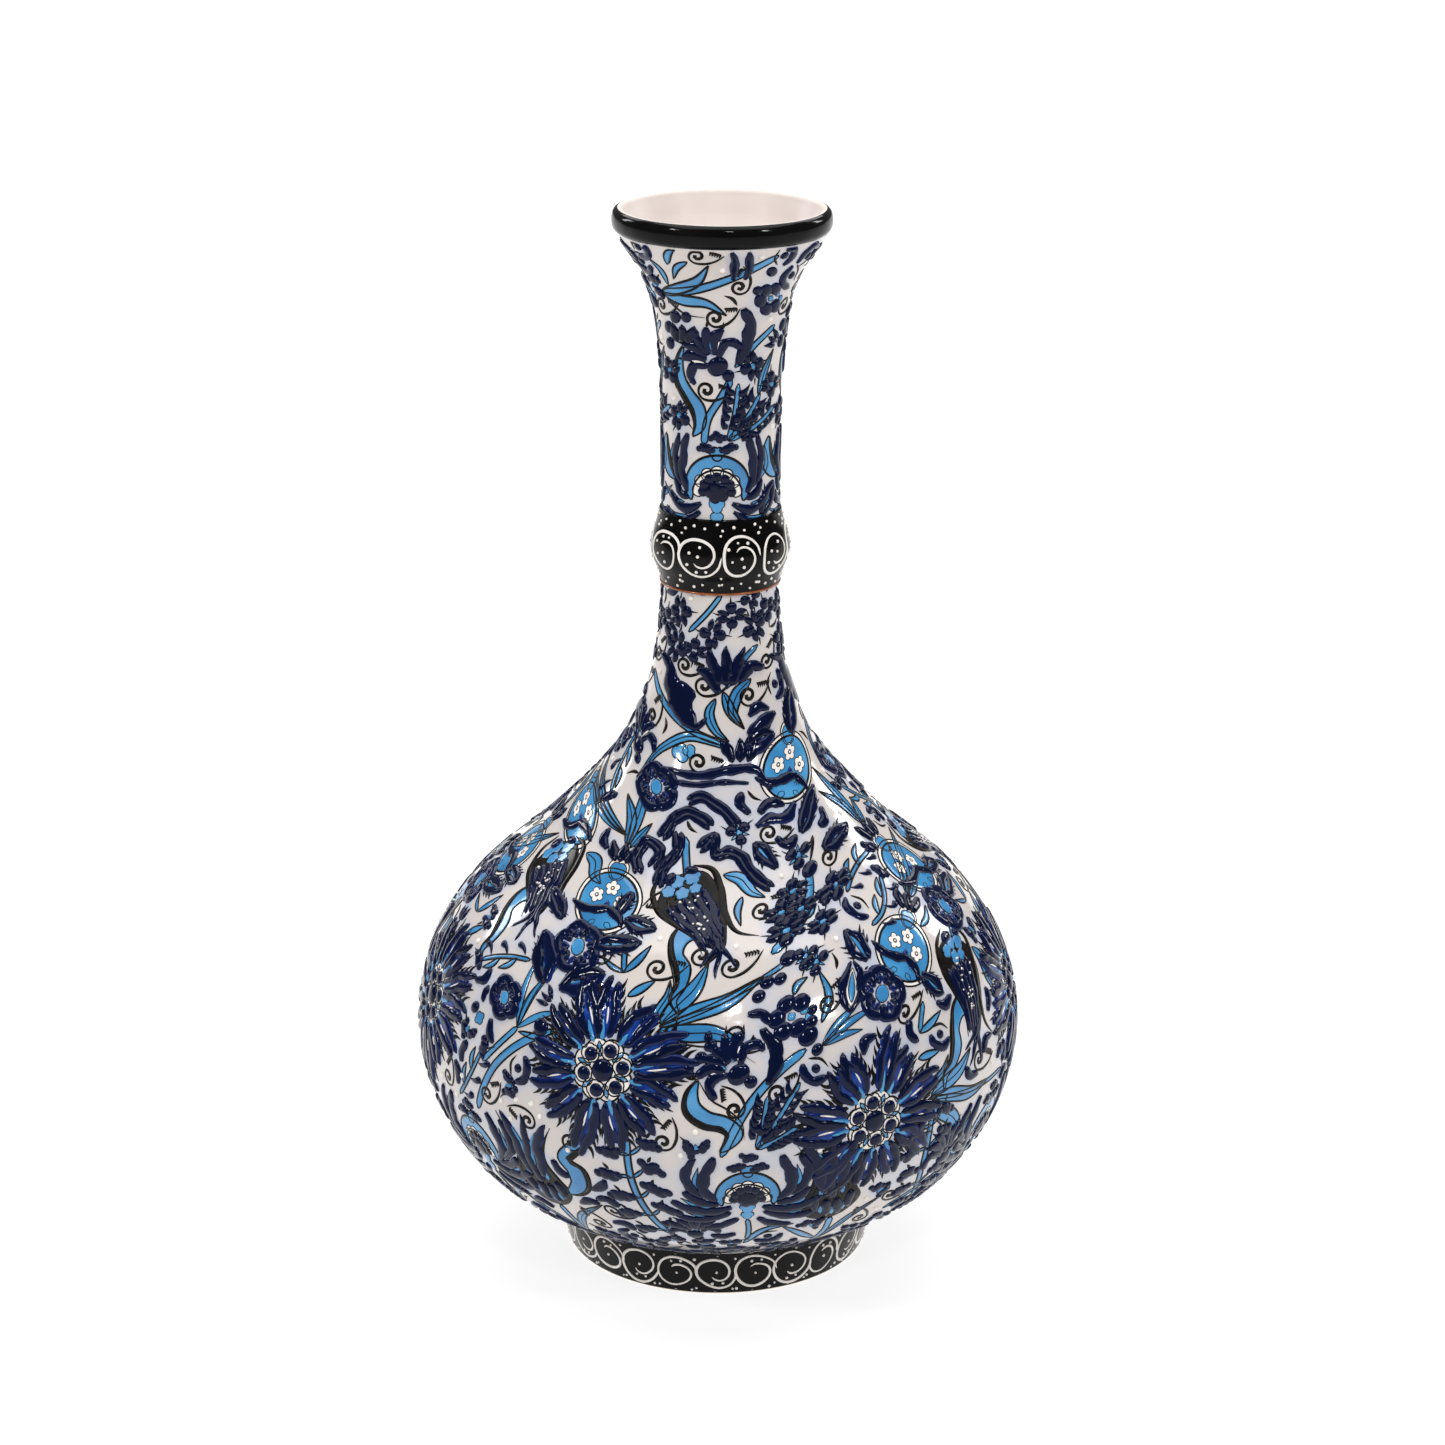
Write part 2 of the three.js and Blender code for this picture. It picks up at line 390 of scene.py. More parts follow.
class Pen:
    """Draws on a turned surface. Points are millimetres right and up from an anchor, turned and scaled."""

    def __init__(self, surface, angle, s, turn=0.0, size=1.0, flip=False):
        self.surface, self.angle, self.s = surface, math.radians(angle), s
        self.matrix, self.shift, self.group = np.eye(2), np.zeros(2), []
        self.size = 1.0
        self._turn(turn, size, flip)

    def _turn(self, turn, size, flip):
        c, k = math.cos(math.radians(turn)), math.sin(math.radians(turn))
        m = np.array([[c, -k], [k, c]]) * size
        if flip:
            m = m @ np.array([[-1, 0], [0, 1]])
        self.matrix = self.matrix @ m
        self.size *= size

    def sub(self, x, y, turn=0.0, size=1.0, flip=False):
        pen = Pen.__new__(Pen)
        pen.surface, pen.angle, pen.s = self.surface, self.angle, self.s
        pen.group, pen.size = self.group, self.size
        pen.matrix = self.matrix.copy()
        pen.shift = self.matrix @ np.array([x, y]) + self.shift
        pen._turn(turn, size, flip)
        return pen

    def local(self, angle, s):
        """Millimetres from the anchor of a place given by its angle and arc length."""
        return (math.radians(angle) - self.angle) * self.surface.radius(s), s - self.s

    def at(self, x, y):
        p = self.matrix @ np.stack([x, y]) + self.shift[:, None]
        s = np.clip(self.s + p[1], 0.6, self.surface.length - 0.6)
        return self.angle + p[0] / self.surface.radius(s), s

    def sweep(self, layer, points, w=None, shape="line", rim=0.0, tone=0.0, step=1.15, height=None):
        """A stroke along points (x, y) or (x, y, width); w is a plain width, shaped at the ends."""
        pts = np.array([p if len(p) == 3 else (*p, 0.0) for p in points], float)
        length = np.hypot(np.diff(pts[:, 0]), np.diff(pts[:, 1]))
        if w is None:
            w = pts[:, 2].max()
            shape = "given"
        else:
            pts[:, 2] = w
        step = min(step, max(0.45, length.sum() / 5)) if layer != "blue" else step
        path, t = spline(pts, length, step / self.size)
        if layer == "cobalt":
            along, phase = t * length.sum(), rng.uniform(0, 2 * math.pi, 3)
            swell = 1 + 0.11 * np.sin(along * 0.8 + phase[0]) + 0.05 * np.sin(along * 1.7 + phase[1])
            path[:, 2] *= ENAMEL_SPREAD * swell
            path[:, 0] += 0.25 * np.sin(along * 0.7 + phase[2])
        width = np.maximum(path[:, 2], 0.15) * width_shape(shape, t, length.sum(), w) * self.size
        angle, s = self.at(path[:, 0], path[:, 1])
        self.group.append((layer, angle, s, width / 2, tone, height))
        if rim:
            self.edge(angle, s, width / 2, rim, 1)
            self.edge(angle, s, width / 2, rim, -1)

    def edge(self, angle, s, half, line, side):
        """An ink line along one side of a stroke: side 1 is its left, -1 its right."""
        r = self.surface.radius(s)
        dx, dy = np.gradient(angle) * r, np.gradient(s)
        size = np.maximum(np.hypot(dx, dy), 1e-9)
        offset = side * (half - 0.1 * line)
        a, b = angle - dy / size * offset / r, np.clip(s + dx / size * offset, 0.6, self.surface.length - 0.6)
        t = np.linspace(0, 1, len(a))
        self.group.append(("ink", a, b, line / 2 * self.size ** 0.5 * (0.75 + 0.35 * np.sin(math.pi * t)),
                           0.0, None))

    def disc(self, layer, x, y, r, lobes=0, depth=0.0, squash=1.0, turn=0.0, rim=0.0, tone=0.0, height=None):
        n = 12 if r < 1.5 else (18 if r < 5 else 40)
        if lobes:
            n = max(n, lobes * 8)
        phi = np.linspace(0, 2 * math.pi, n, endpoint=False)
        reach = r * (1 - depth + depth * np.abs(np.sin(phi * lobes / 2)) ** 0.7 if lobes else np.ones(n))
        px, py = reach * np.cos(phi), reach * np.sin(phi) * squash
        c, k = math.cos(math.radians(turn)), math.sin(math.radians(turn))
        ox, oy = px * c - py * k, px * k + py * c
        self.group.append((layer + "_disc", self, x, y, ox, oy, r * self.size, tone, height))
        if rim:
            a, s = self.at(x + np.append(ox, ox[:2]), y + np.append(oy, oy[:2]))
            self.group.append(("ink", a, s, np.full(len(a), rim / 2), 0.0, None))


# ------------------------------------------------------------------ laying the drawing on the surface
CELL_S, COLUMNS = 1.0, 720  # cells of the record of what is covered: 1 mm high, half a degree wide
DABS = [(0, 0), (0.55, 0), (-0.55, 0), (0, 0.5), (0, -0.5)]


class Canvas:
    """Keeps what is drawn on one turned surface: pieces by layer and zone, and which cells are covered."""

    def __init__(self, surface, zones):
        self.surface, self.zones = surface, zones
        self.pieces = {}
        self.rows = int(surface.length / CELL_S) + 2
        self.covered = np.zeros((self.rows, COLUMNS), bool)
        self.cobalt = np.zeros((self.rows, COLUMNS), bool)

    def cells(self, angle, s):
        r = self.surface.radius(s)
        rows, cols = [], []
        for dx, dy in DABS:
            rows.append(np.clip(((s + dy) / CELL_S).astype(int), 0, self.rows - 1))
            cols.append(np.floor((angle + dx / r) / (2 * math.pi) * COLUMNS).astype(int) % COLUMNS)
        return np.concatenate(rows), np.concatenate(cols)

    def geometry(self, item):
        """Layer, vertices' angle, s, h and tone, quads, hidden quads, triangles and hidden triangles."""
        return self.disc_shape(*item) if item[0].endswith("_disc") else self.stroke_shape(*item)

    def disc_shape(self, layer, pen, x, y, ox, oy, r, tone, height):
        layer = layer[:-5]
        kind, full = LAYERS[layer]
        full = full if height is None else height
        if kind in ("dome", "bead"):
            full = min(full, 0.55 * r + 0.15) if height is None else full
            rings = [(1, BURIED, 1), (1, 0.0, 1), (0.9, 0.5, 0.8), (0.65, 0.82, 0.4), (0.3, 0.97, 0.1)]
        else:
            inner = [f for f in (0.8, 0.55, 0.28) if r * f > 1.2]
            rings = [(1, BURIED, 0), (1, 0.4, 0), (1 - min(0.3, 0.2 / r), 1, 0)]
            rings += [(f, 1, 0) for f in inner]
        n = len(ox)
        a, s, h, e = [], [], [], []
        for f, k, edge in rings:
            ra, rs = pen.at(x + ox * f, y + oy * f)
            a.append(ra)
            s.append(rs)
            h.append(np.full(n, k if k < 0 else k * full))
            e.append(np.full(n, edge))
        ca, cs = pen.at(np.array([x]), np.array([y]))
        a += [ca, ca]
        s += [cs, cs]
        h += [np.array([full]), np.array([BURIED])]
        e += [np.zeros(1), np.zeros(1)]
        a, s, h, e = (np.concatenate(v) for v in (a, s, h, e))
        i = np.arange(n)
        j = (i + 1) % n
        rows = [k * n for k in range(len(rings) - 1)]
        quads = np.concatenate([np.stack([k + i, k + j, k + n + j, k + n + i], -1) for k in rows])
        last, tip, pit = (len(rings) - 1) * n, len(rings) * n, len(rings) * n + 1
        tris = np.concatenate([np.stack([last + i, last + j, np.full(n, tip)], -1),
                               np.stack([j, i, np.full(n, pit)], -1)])
        hidden_t = np.arange(n, 2 * n)
        if np.linalg.det(pen.matrix) < 0:
            quads, tris = quads[:, ::-1], tris[:, ::-1]
        tones = tone * (0.35 + 0.65 * e)
        return layer, a, s, h, tones, quads, None, tris, hidden_t

    def stroke_shape(self, layer, angle, s, half, tone, height):
        kind, full = LAYERS[layer]
        full = full if height is None else height
        if kind == "slab":
            k = max(2, int(math.ceil(half.max() * 2 / 1.6)))
            inner = np.linspace(-0.94, 0.94, k + 1)
            section = np.array([(-1, 0.2)] + [(u, 1.0) for u in inner] + [(1, 0.2)])
        else:
            section = {"dome": DOME, "bead": BEAD, "line": LINE}[kind]
        u = np.append(section[:, 0], [1, -1])
        up = section[:, 1]
        r = self.surface.radius(s)
        dx, dy = np.gradient(angle) * r, np.gradient(s)
        size = np.maximum(np.hypot(dx, dy), 1e-9)
        nx, ny = -dy / size, dx / size
        offset = half[:, None] * u[None, :]
        a = angle[:, None] + offset * (nx / r)[:, None]
        ss = np.clip(s[:, None] + offset * ny[:, None], 0.3, self.surface.length - 0.3)
        if kind in ("dome", "bead"):
            scale = full * np.clip(half / 1.15, 0.12, 1.0)
        else:
            scale = np.full(len(s), full)
        h = np.concatenate([scale[:, None] * up[None, :], np.full((len(s), 2), BURIED)], 1)
        edge = np.abs(np.append(section[:, 0], [1, -1])) ** 2.0
        tones = tone * (0.35 + 0.65 * edge[None, :] + 0 * a)
        m, k = a.shape
        i, j = np.meshgrid(np.arange(m - 1), np.arange(k), indexing="ij")
        i, j = i.ravel(), j.ravel()
        j2 = (j + 1) % k
        quads = np.stack([i * k + j, (i + 1) * k + j, (i + 1) * k + j2, i * k + j2], -1)
        hidden = j == k - 2
        ring, zero = np.arange(1, k - 1), np.zeros(k - 2, int)
        start = np.stack([zero, ring, ring + 1], -1)
        end = np.stack([zero, ring + 1, ring], -1) + (m - 1) * k
        tris = np.concatenate([start, end])
        flat = (v.ravel() for v in (a, ss, h, tones))
        return layer, *flat, quads, hidden, tris, np.arange(len(tris))

    def lay(self, group, limit=None):
        """Adds a group of strokes; with a limit, only if no more than that share of it is already covered."""
        built = [self.geometry(item) for item in group]
        marks = [self.cells(g[1], g[2]) for g in built]
        if limit is not None:
            rows = np.concatenate([m[0] for m in marks])
            cols = np.concatenate([m[1] for m in marks])
            flat = np.unique(rows * COLUMNS + cols)
            if self.covered.ravel()[flat].mean() > limit:
                return False
        for g, mark in zip(built, marks):
            layer, a, s, h, tone, quads, hidden_q, tris, hidden_t = g
            self.covered[mark] = True
            if layer == "cobalt":
                self.cobalt[mark] = True
            a = a - round(float(a.mean()) / (2 * math.pi)) * 2 * math.pi
            middle = float(s.mean())
            zone = next(name for name, end in self.zones if middle <= end)
            key = ("ink" if layer == "shade" else layer, zone)
            if key not in self.pieces:
                self.pieces[key] = Piece()
            self.pieces[key].add(self.surface.place(a, s, h), tone, surface_uv(self.surface, a, s),
                                 quads, tris, hidden_q, hidden_t)
        return True


WALL_ZONES = [("foot_zone", 60.0), ("lower_belly", 98.0), ("belly", 140.0), ("shoulder", 200.0),
              ("lower_neck", 300.0), ("upper_neck", 999.0)]
wall = Canvas(WALL, WALL_ZONES)


# ------------------------------------------------------------------ motifs, in millimetres, +y is up
def jitter(amount):
    return float(rng.uniform(-amount, amount))


def leaf(p, points, w, rim=0.8, vein=True):
    """A light blue leaf with a thin vein."""
    p.sweep("blue", points, 0.9 * w, "leaf", rim=rim)
    if vein and w > 3.4:
        p.sweep("ink", points, 0.55, "line", step=2.0)


def stem(p, points, w=1.9, rim=0.7):
    """A light blue band of one width."""
    p.sweep("blue", points, w, "line", rim=rim, step=2.0)


def stroke(p, points, w=2.6, tone=0.2, shape="fat"):
    """A trail of cobalt enamel."""
    p.sweep("cobalt", points, w and 1.15 * w, shape, tone=tone)


def hair(p, points, w=0.7, shape="leaf"):
    """A thin brush line."""
    p.sweep("ink", points, 1.3 * w, shape, step=0.9)


def spiral(p, r=4.0, comb=5):
    """A curl with a long thin tail and a comb of short ticks."""
    r = 1.2 * r
    t = np.linspace(0.15, 1.0, 13)
    a = t * math.radians(600)
    pts = [(r * k ** 1.2 * math.cos(b), r * k ** 1.2 * math.sin(b), 0.9 + 1.3 * (1 - k))
           for k, b in zip(t, a)]
    x, y = pts[-1][:2]
    pts += [(x + 1.1 * r, y - 0.25 * r, 1.2), (x + 2.3 * r, y + 0.1 * r, 1.0),
            (x + 3.4 * r, y + 1.0 * r, 0.5)]
    p.sweep("ink", pts, step=0.8)
    for i in range(comb):
        x, y = r * (1.3 + 0.25 * i), (0.5 - 0.08 * i) * r
        hair(p, [(x, y + 0.3 * r), (x + 0.16 * r, y), (x, y - 0.32 * r)], 0.85)


def dot(p, x=0.0, y=0.0, r=1.1):
    p.disc("slip", x, y, r, height=0.7 * r)


def berry(p, x, y, r=2.3, tone=0.25):
    p.disc("cobalt", x, y, r, tone=tone)


def lump(p, r=4.2, tone=0.3):
    """A knot of enamel drops run together."""
    p.disc("cobalt", 0, 0, r, lobes=4, depth=0.26, squash=0.72, turn=jitter(35), tone=tone, height=0.95)
    for side in (-1, 1):
        p.disc("cobalt", side * 0.85 * r, jitter(0.4 * r), 0.42 * r, tone=tone)


def blossom(p, r=5.0, n=4, tone=0.25, heart=True):
    """Petals that are lobed drops and pairs of strokes by turns."""
    for i in range(n):
        a = 2 * math.pi * i / n + 0.3
        q = p.sub(0.5 * r * math.cos(a), 0.5 * r * math.sin(a), math.degrees(a) - 90 + jitter(12))
        if n == 3 or i % 2:
            q.disc("cobalt", 0, 0.06 * r, 0.5 * r, squash=0.9, tone=tone, lobes=3, depth=0.2, turn=90)
        else:
            for side in (-1, 1):
                q.sweep("cobalt", [(side * 0.1 * r, -0.3 * r, 0.3 * r), (side * 0.26 * r, 0.2 * r, 0.44 * r),
                                   (side * 0.3 * r, 0.62 * r, 0.2 * r)], tone=tone)
        hair(q, [(0, 0.4 * r), (0.12 * r, 0.95 * r)], 0.7, "drop")
    if heart:
        p.disc("blue", 0, 0, 0.22 * r, rim=0.5, height=0.5)
        for i in range(n):
            a = 2 * math.pi * (i + 0.5) / n + 0.3
            p.sweep("blue", [(0.2 * r * math.cos(a), 0.2 * r * math.sin(a)),
                             (0.8 * r * math.cos(a), 0.8 * r * math.sin(a))],
                    0.2 * r, "leaf", rim=0.4)


def lobed_leaf(p, length=14.0, w=6.0, n=3, tone=0.3):
    """Dark leaf with a light middle, drawn from its stalk upwards."""
    p.sweep("blue", [(0, 0), (0.4, length * 0.5), (0, length * 0.92)], w * 0.3, "leaf", rim=0.3)
    for side in (-1, 1):
        p.sweep("cobalt", [(side * 0.4, 0), (side * w * 0.34, length * 0.35), (side * w * 0.3, length * 0.65),
                           (0, length)],
                w * 0.5, "fat", tone=tone)
        for i in range(n):
            y = length * (0.3 + 0.5 * i / n)
            hair(p, [(side * w * 0.5, y), (side * w * 0.78, y + length * 0.16)], 1.1, "drop")


def serrated_leaf(p, length=17.0, w=7.5, tone=0.5):
    p.sweep("cobalt", [(0, 0), (w * 0.3, length * 0.25), (w * 0.34, length * 0.6), (0, length)], w * 0.58,
            "fat", tone=tone)
    p.sweep("cobalt", [(0, 0), (-w * 0.3, length * 0.3), (-w * 0.28, length * 0.65), (0, length)], w * 0.5,
            "fat",
            tone=0.15)
    p.sweep("blue", [(0, length * 0.15), (0.05 * w, length * 0.5), (0, length * 0.8)], w * 0.22, "leaf")
    for side in (-1, 1):
        for i in range(6):
            y = length * (0.16 + 0.13 * i)
            x = side * w * 0.5 * math.sin(math.pi * min(1, y / length + 0.08)) ** 0.7
            hair(p, [(x, y), (x + side * 1.6, y + 2.4)], 1.2, "drop")


def rosette(p, r=31.0, petals=13):
    """A big flower: a pale eye ringed by drops, and long serrated petals."""
    for i in range(petals):
        q = p.sub(0, 0, 360 * i / petals + jitter(6))
        k = 1 + jitter(0.13)
        q.sweep("cobalt", [(0, 11.6, 3.5), (0.2, 17, 6.6), (0.5, 23 * k, 6.4), (0.9, 28 * k, 2.4)], tone=1.7,
                height=0.3)
        for side in (-1, 1):
            lean, tone = jitter(0.6), rng.uniform(0.1, 0.6)
            q.sweep("cobalt", [(side * 1.3, 11.4, 1.7), (side * 2.5 + lean, 15.8, 3.0),
                               (side * 2.8 + lean, 21.5 * k, 3.4),
                               (side * 2.2 + 0.9, 27 * k, 3.2), (side * 1.4 + 1.8, (r - side) * k, 1.5)],
                               tone=tone, height=1.1)
            for j in range(5):
                y = (15.5 + 3.1 * j) * k
                x = side * (4.6 - 0.28 * j) + lean
                hair(q, [(x - side * 0.8, y - 1.4), (x + side * 1.1, y + 0.6),
                         (x + side * (1.9 + jitter(0.4)), y + 3.4)], 1.6, "drop")
        q.sweep("cobalt", [(0.4, 21), (0.8 + jitter(0.5), 27.5 * k)], 2.0, "fat", tone=0.8, height=0.8)
        q.sweep("white", [(0.8, 16.5, 0.3), (0.9, 19, 0.6), (0.7, 22.5 * k, 0.3)], height=0.6)
        q.sweep("blue", [(-0.5, 10.6, 1.5), (-0.6, 13.5, 1.7), (-0.6, 17 * k, 0.4)], rim=0.35, height=0.6)
    p.disc("white", 0, 0, 11.6, lobes=8, depth=0.13, rim=0.8, height=0.1)
    for i in range(6):
        a = 2 * math.pi * (i + 0.25) / 6
        x, y = 7.5 * math.cos(a), 7.5 * math.sin(a)
        p.disc("white", x, y, 3.5, lobes=5, depth=0.1, rim=0.7, height=0.16)
        p.disc("cobalt", x + 0.2, y - 0.2, 2.6, tone=0.35, height=1.15)
        b = a + math.pi / 6
        p.sweep("blue", [(4.8 * math.cos(b), 4.8 * math.sin(b)), (10.4 * math.cos(b), 10.4 * math.sin(b))],
                2.4, "leaf", rim=0.6)
    p.disc("cobalt", 0, 0, 4.2, tone=0.2, height=1.4)


def daisy(p, x, y, r=3.0, turn=0.0):
    p.disc("white", x, y, r, lobes=5, depth=0.34, turn=turn, rim=0.4, height=0.17)
    p.disc("ink", x, y, 0.34 * r, height=0.22)
    p.disc("white", x, y, 0.17 * r, height=0.26)


def sprig(p, x, y, turn=0.0):
    q = p.sub(x, y, turn)
    for a in (-28, 0, 28):
        q.sweep("ink", [(0, 0), (2.6 * math.sin(math.radians(a)), 2.6 * math.cos(math.radians(a)))], 0.45,
                "tail")


def pomegranate(p, r=12.0):
    """A light blue disc with daisies on it and a crown."""
    p.disc("white", 0, 0, r + 1.7, squash=0.98, rim=0.7, height=0.07)
    p.disc("white", 0, r + 1.2, 4.6, lobes=3, depth=0.15, turn=90, rim=0.5, height=0.07)
    p.disc("blue", 0, 0, r, squash=0.98, rim=1.1, height=0.12)
    p.disc("blue", 0, r + 0.8, 3.6, lobes=3, depth=0.25, turn=90, rim=0.5, height=0.13)
    p.disc("blue", 0, r - 2.2, 2.6, height=0.15)
    for x, y, turn in ((-5.2, 1.6, 10), (0.4, 5.6, -14), (5.6, 0.6, 30)):
        daisy(p, x, y, 3.1, turn)
        sprig(p, x * 0.8, y - 5.0, 180 - 4 * x)
    p.disc("cobalt", 0.5, -1.0, 1.1, tone=0.9)
    stroke(p, [(-15, -2.5, 1.2), (-9.5, -4.6, 3.2), (-3.5, -4.2, 3.4), (1.5, -2.9, 3.2), (6.5, -5.4, 3.0),
               (9.5, -9.5, 1.2)],
           None, 0.25)
    for side in (-1, 1):
        p.sweep("blue", [(side * 2.0, -8.4), (side * 5, -10.6)], 2.2, "leaf", rim=0.35)


def open_flower(p, r=8.5):
    p.disc("blue", 0, 0, 0.3 * r, squash=1.25, rim=0.7, height=0.5)
    for i in range(5):
        q = p.sub(0, 0, 72 * i + 18 + jitter(6))
        q.sweep("cobalt", [(-0.34 * r, 0.3 * r, 1.8), (-0.5 * r, 0.75 * r, 3.0), (0, 1.08 * r, 3.3),
                           (0.5 * r, 0.75 * r, 3.0), (0.34 * r, 0.3 * r, 1.8)], tone=0.4)
        q.sweep("cobalt", [(-0.12 * r, 0.4 * r), (-0.1 * r, 0.85 * r)], 2.0, "fat", tone=0.8, height=0.6)
        q.sweep("cobalt", [(0.16 * r, 0.4 * r), (0.14 * r, 0.85 * r)], 2.0, "fat", tone=0.5, height=0.7)


def carnation(p, r=10.0):
    """A flower seen from the side: a bulb below, petals fanning and curling outwards."""
    for side in (-1, 1):
        for points, wide in (
            ([(0.25, -0.12), (0.75, 0.2), (1.08, 0.0), (1.12, -0.4)], 0.3),
            ([(0.2, 0.1), (0.6, 0.6), (1.05, 0.68)], 0.34),
            ([(0.1, 0.2), (0.28, 0.75), (0.62, 1.12)], 0.3),
        ):
            stroke(p, [(side * x * r, y * r) for x, y in points], wide * r, 0.4)
            hair(p, [(side * points[-1][0] * r, points[-1][1] * r),
                     (side * (points[-1][0] + 0.2) * r, (points[-1][1] + 0.22) * r)],
                 1.1, "drop")
        p.sweep("blue", [(side * 0.16 * r, 0.1 * r), (side * 0.4 * r, 0.62 * r)], 0.15 * r, "leaf", rim=0.4,
                height=0.7)
        p.sweep("white", [(side * 0.3 * r, 0.05 * r), (side * 0.66 * r, 0.4 * r)], 0.13 * r, "leaf", rim=0.35,
                height=0.6)
    p.sweep("cobalt", [(0, 0.2 * r), (0.03 * r, 1.15 * r)], 0.3 * r, "fat", tone=0.4)
    p.disc("cobalt", 0, 1.15 * r, 0.26 * r, lobes=3, depth=0.2, turn=90, tone=0.3)
    p.disc("cobalt", 0, -0.35 * r, 0.42 * r, squash=0.9, tone=0.3, height=1.2)
    p.disc("cobalt", 0.1 * r, -0.88 * r, 0.24 * r, tone=0.3)


def plum(p, r=7.5):
    for i in range(5):
        a = math.radians(60 + 62 * i)
        p.disc("cobalt", 0.62 * r * math.cos(a), 0.62 * r * math.sin(a), 0.42 * r, tone=0.35, lobes=2,
               depth=0.1,
               turn=math.degrees(a))
    for x, y in ((0, 0), (0.5, 0.2), (0.3, -0.4), (0.75, -0.1)):
        p.disc("blue", x * r, y * r, 0.17 * r, lobes=4, depth=0.2, rim=0.35, height=0.3)


def diamond_bud(p, length=19.0, w=10.0):
    for side in (-1, 1):
        p.sweep("cobalt", [(0, 0, 1.0), (side * w * 0.36, length * 0.34, 2.8),
                           (side * w * 0.34, length * 0.66, 2.8), (side * 0.4, length, 1.0)], tone=0.3)
        for i in range(4):
            y = length * (0.3 + 0.14 * i)
            hair(p, [(side * w * 0.53, y), (side * (w * 0.53 + 1.5), y + 0.9)], 0.7)
    p.sweep("white", [(0, length * 0.12), (0, length * 0.85)], w * 0.46, "leaf", rim=0.4, height=0.08)
    p.sweep("blue", [(0, length * 0.2), (0, length * 0.78)], w * 0.26, "leaf", rim=0.4, height=0.13)


def sideways(pts):
    """Unit vectors to the left of a path of points."""
    along = np.gradient(pts[:, :2], axis=0)
    along /= np.maximum(np.hypot(along[:, 0], along[:, 1]), 1e-6)[:, None]
    return np.stack([-along[:, 1], along[:, 0]], -1)


def ribbon(p, points, shadow=1):
    """A light blue band of changing width, with a dark crescent along one side."""
    p.sweep("blue", points, rim=0.85)
    pts = np.array(points, float)
    side = sideways(pts) * shadow
    grow = np.sin(np.linspace(0.1, 1, len(pts)) * math.pi) ** 1.5 * 2.0 + 0.3
    offset = side * (pts[:, 2:3] / 2 + grow[:, None] / 2)
    p.sweep("shade", [(x, y, g) for (x, y), g in zip(pts[:, :2] + offset, grow)])


def tulip(p, length=44.0, w=22.0):
    """Bulb at the bottom, three long pointed petals upwards."""
    b = w / 2
    p.sweep("shade", [(0, -1.2, w * 0.3), (0, 2.5, w * 0.78), (0, 8, w + 2.0), (0, 14, w * 0.95),
                      (0, 20, w * 0.62), (0, 25, w * 0.4)],
            height=0.12)
    for side in (-1, 1):
        hair(p, [(side * b * 0.98, 8), (side * b * 0.86, 15), (side * b * 0.62, 23), (side * b * 0.95, 34),
                 (side * b * 1.25, length * 0.98)], 2.6, "drop")
        p.sweep("cobalt", [(side * b * 0.2, 15, 2.0), (side * b * 0.42, 22, 4.2), (side * b * 0.5, 30, 4.4),
                           (side * b * 0.85, 37, 2.8), (side * b * 1.05, length, 0.8)], tone=0.4, height=0.9)
        p.sweep("blue", [(side * b * 0.12, 20, 0.8), (side * b * 0.2, 28, 1.8), (side * b * 0.5, 35, 0.6)],
                rim=0.4, height=0.5)
    p.sweep("cobalt", [(0, 13, 2.2), (-0.6, 22, 4.0), (0.4, 31, 3.6), (0, length * 1.04, 0.8)], tone=0.3,
            height=0.9)
    for x, y, length_, lean in ((-0.6, 9, 9, -0.1), (-0.2, 6, 10, 0), (0.22, 6, 10, 0), (0.62, 9, 9, 0.1),
                                (0.0, 15, 7, 0)):
        p.sweep("cobalt", [(x * b, y - 0.4 * length_), (x * b + lean * b, y + 0.55 * length_)], 3.7, "fat",
                tone=0.3)
    for x, y in ((-0.42, 5), (0.0, 3.2), (0.42, 5), (-0.4, 15.5), (0.4, 15.5)):
        p.sweep("blue", [(x * b, y - 1.5), (x * b, y + 3.4)], 2.0, "leaf", rim=0.3, height=0.3)


